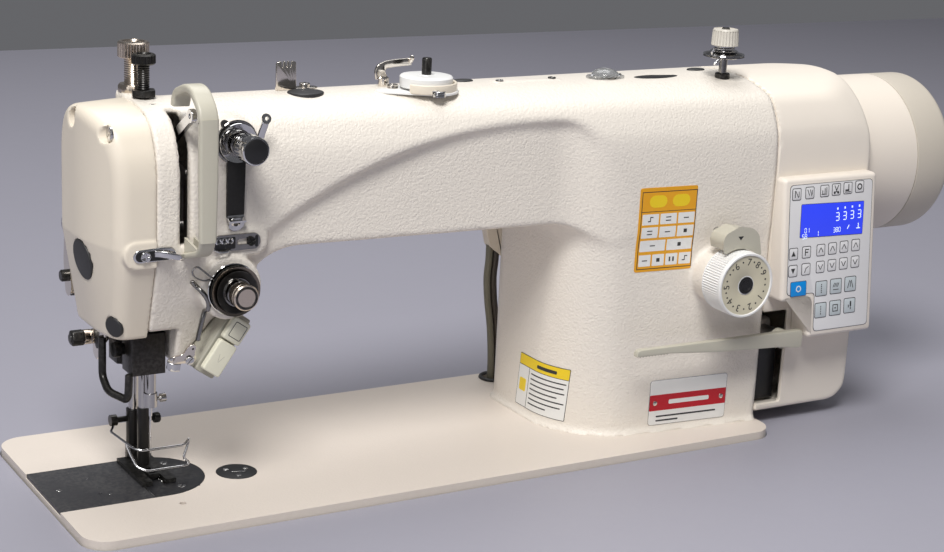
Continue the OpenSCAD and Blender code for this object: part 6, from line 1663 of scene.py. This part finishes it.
def make_lifter():
    """Hand lifter: a flat lever on a pin, with a hexagonal knob."""
    piece = Piece("lifter_lever_set", body_of("lifter_lever"))
    arm = soft_line([(-4.2, 5), (4.6, 5), (5.2, -3), (-7.5, -32.5), (-11, -36.2), (-16.5, -35.2),
                     (-17.8, -29), (-14, -24)], 4, 4, closed=True)
    piece.slab(arm, 3.4, (NX - 4, 38.1, 108), FRONT, "nickel_bright", soft=0.7)
    piece.turned([(0, 0), (4.6, 0), (5, 0.5), (5, 11.4), (4.4, 12), (0, 12)], (NX - 4, 37.7, 108), FRONT,
                 "steel", turns=32)
    at = np.array((NX - 14, 39.2, 77))
    piece.turned([(0, -1), (3.6, -1), (4.6, -0.2), (4.6, 5.6), (4.2, 6.2), (4.5, 6.8), (4.6, 11.4), (3.9, 12),
                  (0, 12)], at, LEFT, "nickel", turns=40)
    piece.slab(soft_line(disc(5.1, 6), 0.6, 2, closed=True), 7.4, at + (-12, 0, 0), LEFT, "black_steel",
               soft=1.2, steps=4)
    piece.turned([(0, 0), (2.9, 0), (2.6, 0.7), (0, 0.9)], at + (-19.3, 0, 0), LEFT, "black_steel", turns=24)
    piece.make("lifter_lever", slot="nickel")


def make_block():
    """Machined block round the bars, seen under the cover, with the pieces beside it."""
    low, high = span("bar_block")
    piece = Piece("bar_block_machined")
    x0, x1, y0, y1 = low[0], high[0] - 2.6, low[1], high[1]
    plan = soft_line([(x0, y0), (x1, y0), (x1, y1), (x0, y1), (x0, 12), (x0 + 2.2, 11), (x0 + 2.2, 4.6),
                      (x0, 3.6)], 0.9, 3, closed=True)
    piece.slab(plan, high[2] - 67, (0, 0, 67), UP, "oiled_black", soft=0.5, up=REAR)
    pad = soft_line([(x0 + 5.5, y0 + 0.6), (x0 + 17, y0 + 0.6), (x0 + 17, y0 + 14), (x0 + 5.5, y0 + 14)],
                    1, 3, closed=True)
    piece.slab(pad, 3.6, (0, 0, 67.4), DOWN, "oiled_black", soft=0.6, up=FRONT)
    piece.make("bar_block", slot="black_steel", sharp=45)
    piece = Piece("head_side_fittings")
    # slotted shoulder screw in the block's left side
    at = np.array((x0, 1.2, 79.6))
    piece.turned([(0, -1), (3.4, -1), (3.4, 2.0), (4.3, 2.2), (4.6, 2.8), (4.6, 6.2), (3.9, 6.8), (0, 6.8)],
                 at, LEFT, "black_steel", turns=40)
    # black bar on the head for the screw's slot: painted shade of the slot
    piece.slab(rounded_box(8.6, 1.1, 0.3), 0.3, at + (-6.75, 0, 0), LEFT, "print_black", soft=0.1, roll=-0.9)
    # bright plate with two dark holes behind it, drawn as black discs on it: painted shade
    plate = soft_line([(-12, 16), (-12, -12.5), (-6, -16), (3, -9), (8, 2), (8, 16)], 2.5, 4, closed=True)
    piece.slab(plate, 1.6, (NX - 22.5, 14, 84), LEFT, "nickel_bright", soft=0.3)
    for u, v in ((-4.2, 6.2), (-4.6, -5.0)):
        piece.slab(disc(3.1, 28), 0.25, np.array((NX - 24.0, 14 - u, 84 + v)), LEFT, "black_plastic",
                   soft=0.08)
    # black bent rod that comes down beside the bars
    rod = soft_line([(NX - 24.5, 8, 86), (NX - 24.5, 8, 62), (NX - 24.5, -2, 55.5), (NX - 17, -11.5, 52.5),
                     (NX - 16, -12.5, 55), (NX - 15.5, -12.5, 67.5)], 4, 6)
    piece.wire(rod, 2.35, "black_steel", sides=14)
    # hinge pieces at the head's back left edge
    piece.turned([(0, -4), (5.2, -4), (5.2, 1), (4.2, 2), (0, 2)], (-206, 40, 148), LEFT, "black_steel",
                 turns=36)
    piece.turned([(2.2, 1.6), (4.0, 1.6), (4.6, 2.2), (4.0, 2.8), (2.2, 2.8)], (-206, 40, 148), LEFT,
                 "chrome", turns=36, wrap=True)
    lever = soft_line([(-4.5, 20), (3.5, 21), (4.6, 0), (6.6, -10), (3.0, -15.4), (-3.0, -14.8), (-4.4, -6),
                       (-6, 4)], 2.5, 4, closed=True)
    piece.slab(lever, 3.6, (-203, 40, 120), LEFT, "nickel_bright", soft=0.8)
    piece.turned([(0, -3), (3.6, -3), (3.6, 3.4), (2.8, 4.2), (0, 4.2)], (-206.4, 41, 116), LEFT,
                 "black_steel", turns=32)
    screw(piece, (-202.0, 40, 107.8), LEFT, 4.2, 3.0, "black_steel", roll=0.2)
    piece.turned([(0, -4), (2.2, -4), (2.2, 9), (1.6, 9.6), (0, 9.6)], (-198, 41.6, 101.8), DOWN,
                 "nickel_bright", turns=24)
    # bent chrome rod let into the curved slot on the front
    line = np.array([(-160.0, 128.6), (-154.8, 122.6), (-151.9, 117.4), (-151.6, 112.4), (-153.9, 103.2),
                     (-156.0, 93.4)])
    line = curve(np.c_[line[:, 0], np.zeros(len(line)), line[:, 1]], 4)
    start, ahead = from_front(line[:, 0], line[:, 2])
    line = on_surface(start, ahead) + (0, 0.35, 0)
    piece.wire(line, 1.5, "chrome_dark", sides=12)
    piece.make(slot="nickel")


def make_finger_guard():
    """Bent wire in front of the feet, and the walking foot's knurled screw."""
    c = np.array((NX, NY, 0.0))
    points = [(-13, 28.3, 24), (-17.5, 20, 24), (-13, -6, 22), (-9, -9.7, 21), (18, -9.7, 21), (22, -7, 24),
              (20, -8.5, 19), (17, -9.7, 13), (21, -9.7, 9), (18, -10.7, 8), (-6, -10.7, 8), (-11, -7, 10),
              (-13, -2, 16), (-14.5, 2, 22.3)]
    line = soft_line(np.array(points, float) + c, 2.2, 5)
    piece = Piece("finger_guard_wire", body_of("finger_guard"))
    piece.wire(line, 0.85, "chrome", sides=10)
    piece.make("finger_guard", slot="chrome")
    piece = Piece("foot_screw", body_of("walking_bar"))
    piece.turned([(0, 0), (1.5, 0), (1.5, 3), (2.9, 3.2), (3.2, 3.8), (3.2, 6.4), (2.6, 7), (0, 7)],
                 (NX + 3.2, WALK_Y, 32.5), RIGHT, "black_steel", turns=60, ripple=knurl(12, 0.1, 3.7, 6.5))
    piece.make(slot="black_steel")


def make_lead_fittings():
    """Bracket that the leads leave and the ring they enter in the bed."""
    piece = Piece("lead_fittings_set")
    outline = soft_line([(-7, 22.6), (-7, -3), (-4, -16), (6.8, -24.6), (7.1, -24), (7.1, 22.6)], 1.5, 3,
                        closed=True)
    piece.slab(outline, 7, (98.1, 61.9, 120), FRONT, "cover_plastic", soft=0.9)
    piece.slab(rounded_box(8.6, 19, 1.2, 3), 2.4, (86, 52, 140.3), UP, "nickel_bright", soft=0.4, up=REAR)
    screw(piece, (86.5, 47, 140.3), DOWN, 3.0, 1.8, "chrome_dark", up=REAR)
    piece.turned([(8.0, 0.1), (10.2, 0.1), (10.5, 0.5), (10.2, 1.5), (9.2, 2.2), (8.3, 1.8), (7.7, 0.9)],
                 (116.1, 77, 0), UP, "rubber", turns=56, wrap=True)
    piece.make("lead_fittings", slot="white_plastic")


def mark(piece, x, z, kind, place, material="print_black", size=1.0):
    """Simple shape on a label: a bar, a block, two rows or a bent stroke, laid on the casting."""
    strokes = {
        "bar": [(-2, -0.35, 2, 0.35)],
        "block": [(-1.3, -1.3, 1.3, 1.3)],
        "rows": [(-2, -1.5, 2, -0.8), (-2, 0.8, 2, 1.5)],
        "step": [(-2, -1.6, 0.2, -0.9), (-0.4, -0.9, 0.2, 1.2), (-0.4, 1.2, 2, 1.9)],
        "pair": [(-2, -1.6, -0.8, 1.6), (0.8, -1.6, 2, 1.6)],
    }
    for a, b, c, d in strokes[kind]:
        sticker(piece, x + a * size, x + c * size, z + b * size, z + d * size, place, 0.26, material, r=0.12,
                across=3, tall=4)


def make_labels():
    """Name plate, orange field and corner label, each made of thin sheets laid on the casting."""
    # plate low on the column: white, a red band and white again, held by two rivets
    piece = Piece("name_plate")
    sticker(piece, 153.2, 212.6, 4.2, 35.4, from_front, 0.35, "steel", r=1.9, across=24, tall=8)
    sticker(piece, 153.6, 212.2, 4.6, 35, from_front, 0.5, "label_white", r=1.6, across=24, tall=8)
    for x, z, w in ((159, 9.6, 46), (159, 6.6, 17)):
        sticker(piece, x, x + w, z, z + 1.1, from_front, 0.56, "slide_grey", r=0.4, across=20, tall=4)
    sticker(piece, 168, 199, 18.2, 21.2, from_front, 0.6, "label_white", r=0.8, across=14, tall=4)
    sticker(piece, 153.6, 212.2, 14.2, 25.2, from_front, 0.56, "label_red", r=0.3, across=24, tall=5)
    for x in (157.4, 208.4):
        piece.turned([(0, 0), (1.7, 0), (1.6, 0.5), (0.9, 0.85), (0, 0.9)], front_place(x, 19.6, 0.52), FRONT,
                     "nickel_bright", turns=24)
    piece.make(slot="white_plastic")
    # tall orange field on the column with a thin dark frame and white boxes
    piece = Piece("orange_field")
    x0, x1, z0, z1 = 134.4, 176.8, 110.4, 166.0
    sticker(piece, x0, x1, z0, z1, from_front, 0.18, "label_orange", r=1.4, across=16, tall=16)
    for a, b, c, d in ((1.6, 1.6, 42.4, 2.1), (1.6, 52.5, 42.4, 53.0), (1.6, 1.6, 2.1, 53.0),
                       (41.9, 1.6, 42.4, 53.0), (1.6, 39.6, 42.4, 40.0)):
        sticker(piece, x0 + a, x0 + c, z0 + b, z0 + d, from_front, 0.21, "print_black", r=0.1, across=8,
                tall=5)
    kinds = ("step", "block", "rows", "pair", "bar")
    n = 0
    for row, (z, h, boxes) in enumerate(((31.2, 7.0, 3), (22.4, 7.2, 3), (13.4, 7.4, 2), (3.6, 7.6, 4))):
        w = (38.6 - (boxes - 1) * 1.2) / boxes
        for k in range(boxes):
            a = 2.8 + k * (w + 1.2)
            sticker(piece, x0 + a, x0 + a + w, z0 + z, z0 + z + h, from_front, 0.22, "label_white", r=0.4,
                    across=5, tall=5)
            mark(piece, x0 + a + w / 2, z0 + z + h / 2, kinds[(n * 2 + row) % 5], from_front, size=0.95)
            n += 1
    for a in (7.2, 24.2):
        sticker(piece, x0 + a, x0 + a + 13, z0 + 42.4, z0 + 50.4, from_front, 0.22, "label_yellow", r=3.9,
                across=6, tall=8)
    piece.make(slot="white_plastic")
    # yellow and white label round the column's corner
    piece = Piece("corner_field")
    left, right, low, high = -22.0, 27.0, 6.2, 43.0
    rim = 0.4
    a, b, base, top = left + rim, right - rim, low + rim, high - rim
    fields = [
        (left, right, low, high, 0.18, "print_black", 0.8, 34, 12),
        (a, b, base, top, 0.24, "label_white", 0.6, 34, 12),
        (a, b, 35.4, top, 0.30, "label_yellow", 0.6, 34, 5),
        (a, b, 35.0, 35.4, 0.31, "print_black", 0.1, 34, 4),
        (-9.4, -9.0, base, 35.0, 0.31, "print_black", 0.1, 4, 8),
        (-19.5, -11.8, 17.0, 26.0, 0.30, "label_yellow", 1.2, 6, 6),
    ]
    for k, wide in enumerate((32, 30.5, 31.5, 26, 31.8, 29.5, 18)):
        fields.append((-6.8, -6.8 + wide, 31.4 - 3.5 * k, 32.3 - 3.5 * k, 0.30, "slide_grey", 0.3, 22, 4))
    fields.append((-1.0, 17.0, 37.6, 40.0, 0.35, "print_black", 0.8, 12, 4))
    for x0, x1, z0, z1, lift, material, r, across, tall in fields:
        sticker(piece, x0, x1, z0, z1, round_corner, lift, material, r, across, tall)
    piece.make(slot="white_plastic")


make_lifter()
make_block()
make_finger_guard()
make_lead_fittings()
make_labels()


# -------------------- floor and light


def make_stage():
    """Pale table top with an opening for the bed, a pale world and three large soft lights."""
    finish("table_top", (0.32, 0.315, 0.37), 0.5, relief=FINE, vary=0.01)
    z = BED - 5
    half = 4000.0
    hole = rounded_box(478, 180, 17, 6)
    outer = hole / np.abs(hole).max(1, keepdims=True) * half
    p = np.concatenate([np.c_[hole, np.full(len(hole), z)], np.c_[outer, np.full(len(outer), z)]])
    n = len(hole)
    i = np.arange(n)
    quads = np.stack([i, n + i, n + (i + 1) % n, (i + 1) % n], 1)
    mesh = bpy.data.meshes.new("table_top")
    mesh.from_pydata((p / 1000).tolist(), [], quads.tolist())
    mesh.materials.append(MATERIALS["table_top"])
    ob = bpy.data.objects.new("table_top", mesh)
    SCENE.collection.objects.link(ob)
    SCENE.view_settings.view_transform = "Standard"
    world = bpy.data.worlds.new("studio")
    SCENE.world = world
    world.use_nodes = True
    back = world.node_tree.nodes["Background"]
    back.inputs[0].default_value = (0.93, 0.94, 1.0, 1.0)
    back.inputs[1].default_value = 0.14
    aim = Vector((0.0, 0.0, 0.18))
    for name, place, size, power, tint in (
        ("key", (-0.9, -1.15, 2.3), 1.1, 68.0, (1.0, 0.985, 0.96)),
        ("fill", (-1.9, -1.2, 0.9), 1.4, 5.5, (1.0, 0.99, 0.98)),
        ("top", (0.3, 0.7, 1.9), 1.6, 19.0, (1.0, 1.0, 1.0)),
    ):
        data = bpy.data.lights.new(name, "AREA")
        data.shape, data.size, data.energy, data.color = "DISK", size, power, tint
        lamp = bpy.data.objects.new(name, data)
        lamp.location = place
        lamp.rotation_euler = (aim - Vector(place)).to_track_quat("-Z", "Y").to_euler()
        SCENE.collection.objects.link(lamp)


make_stage()
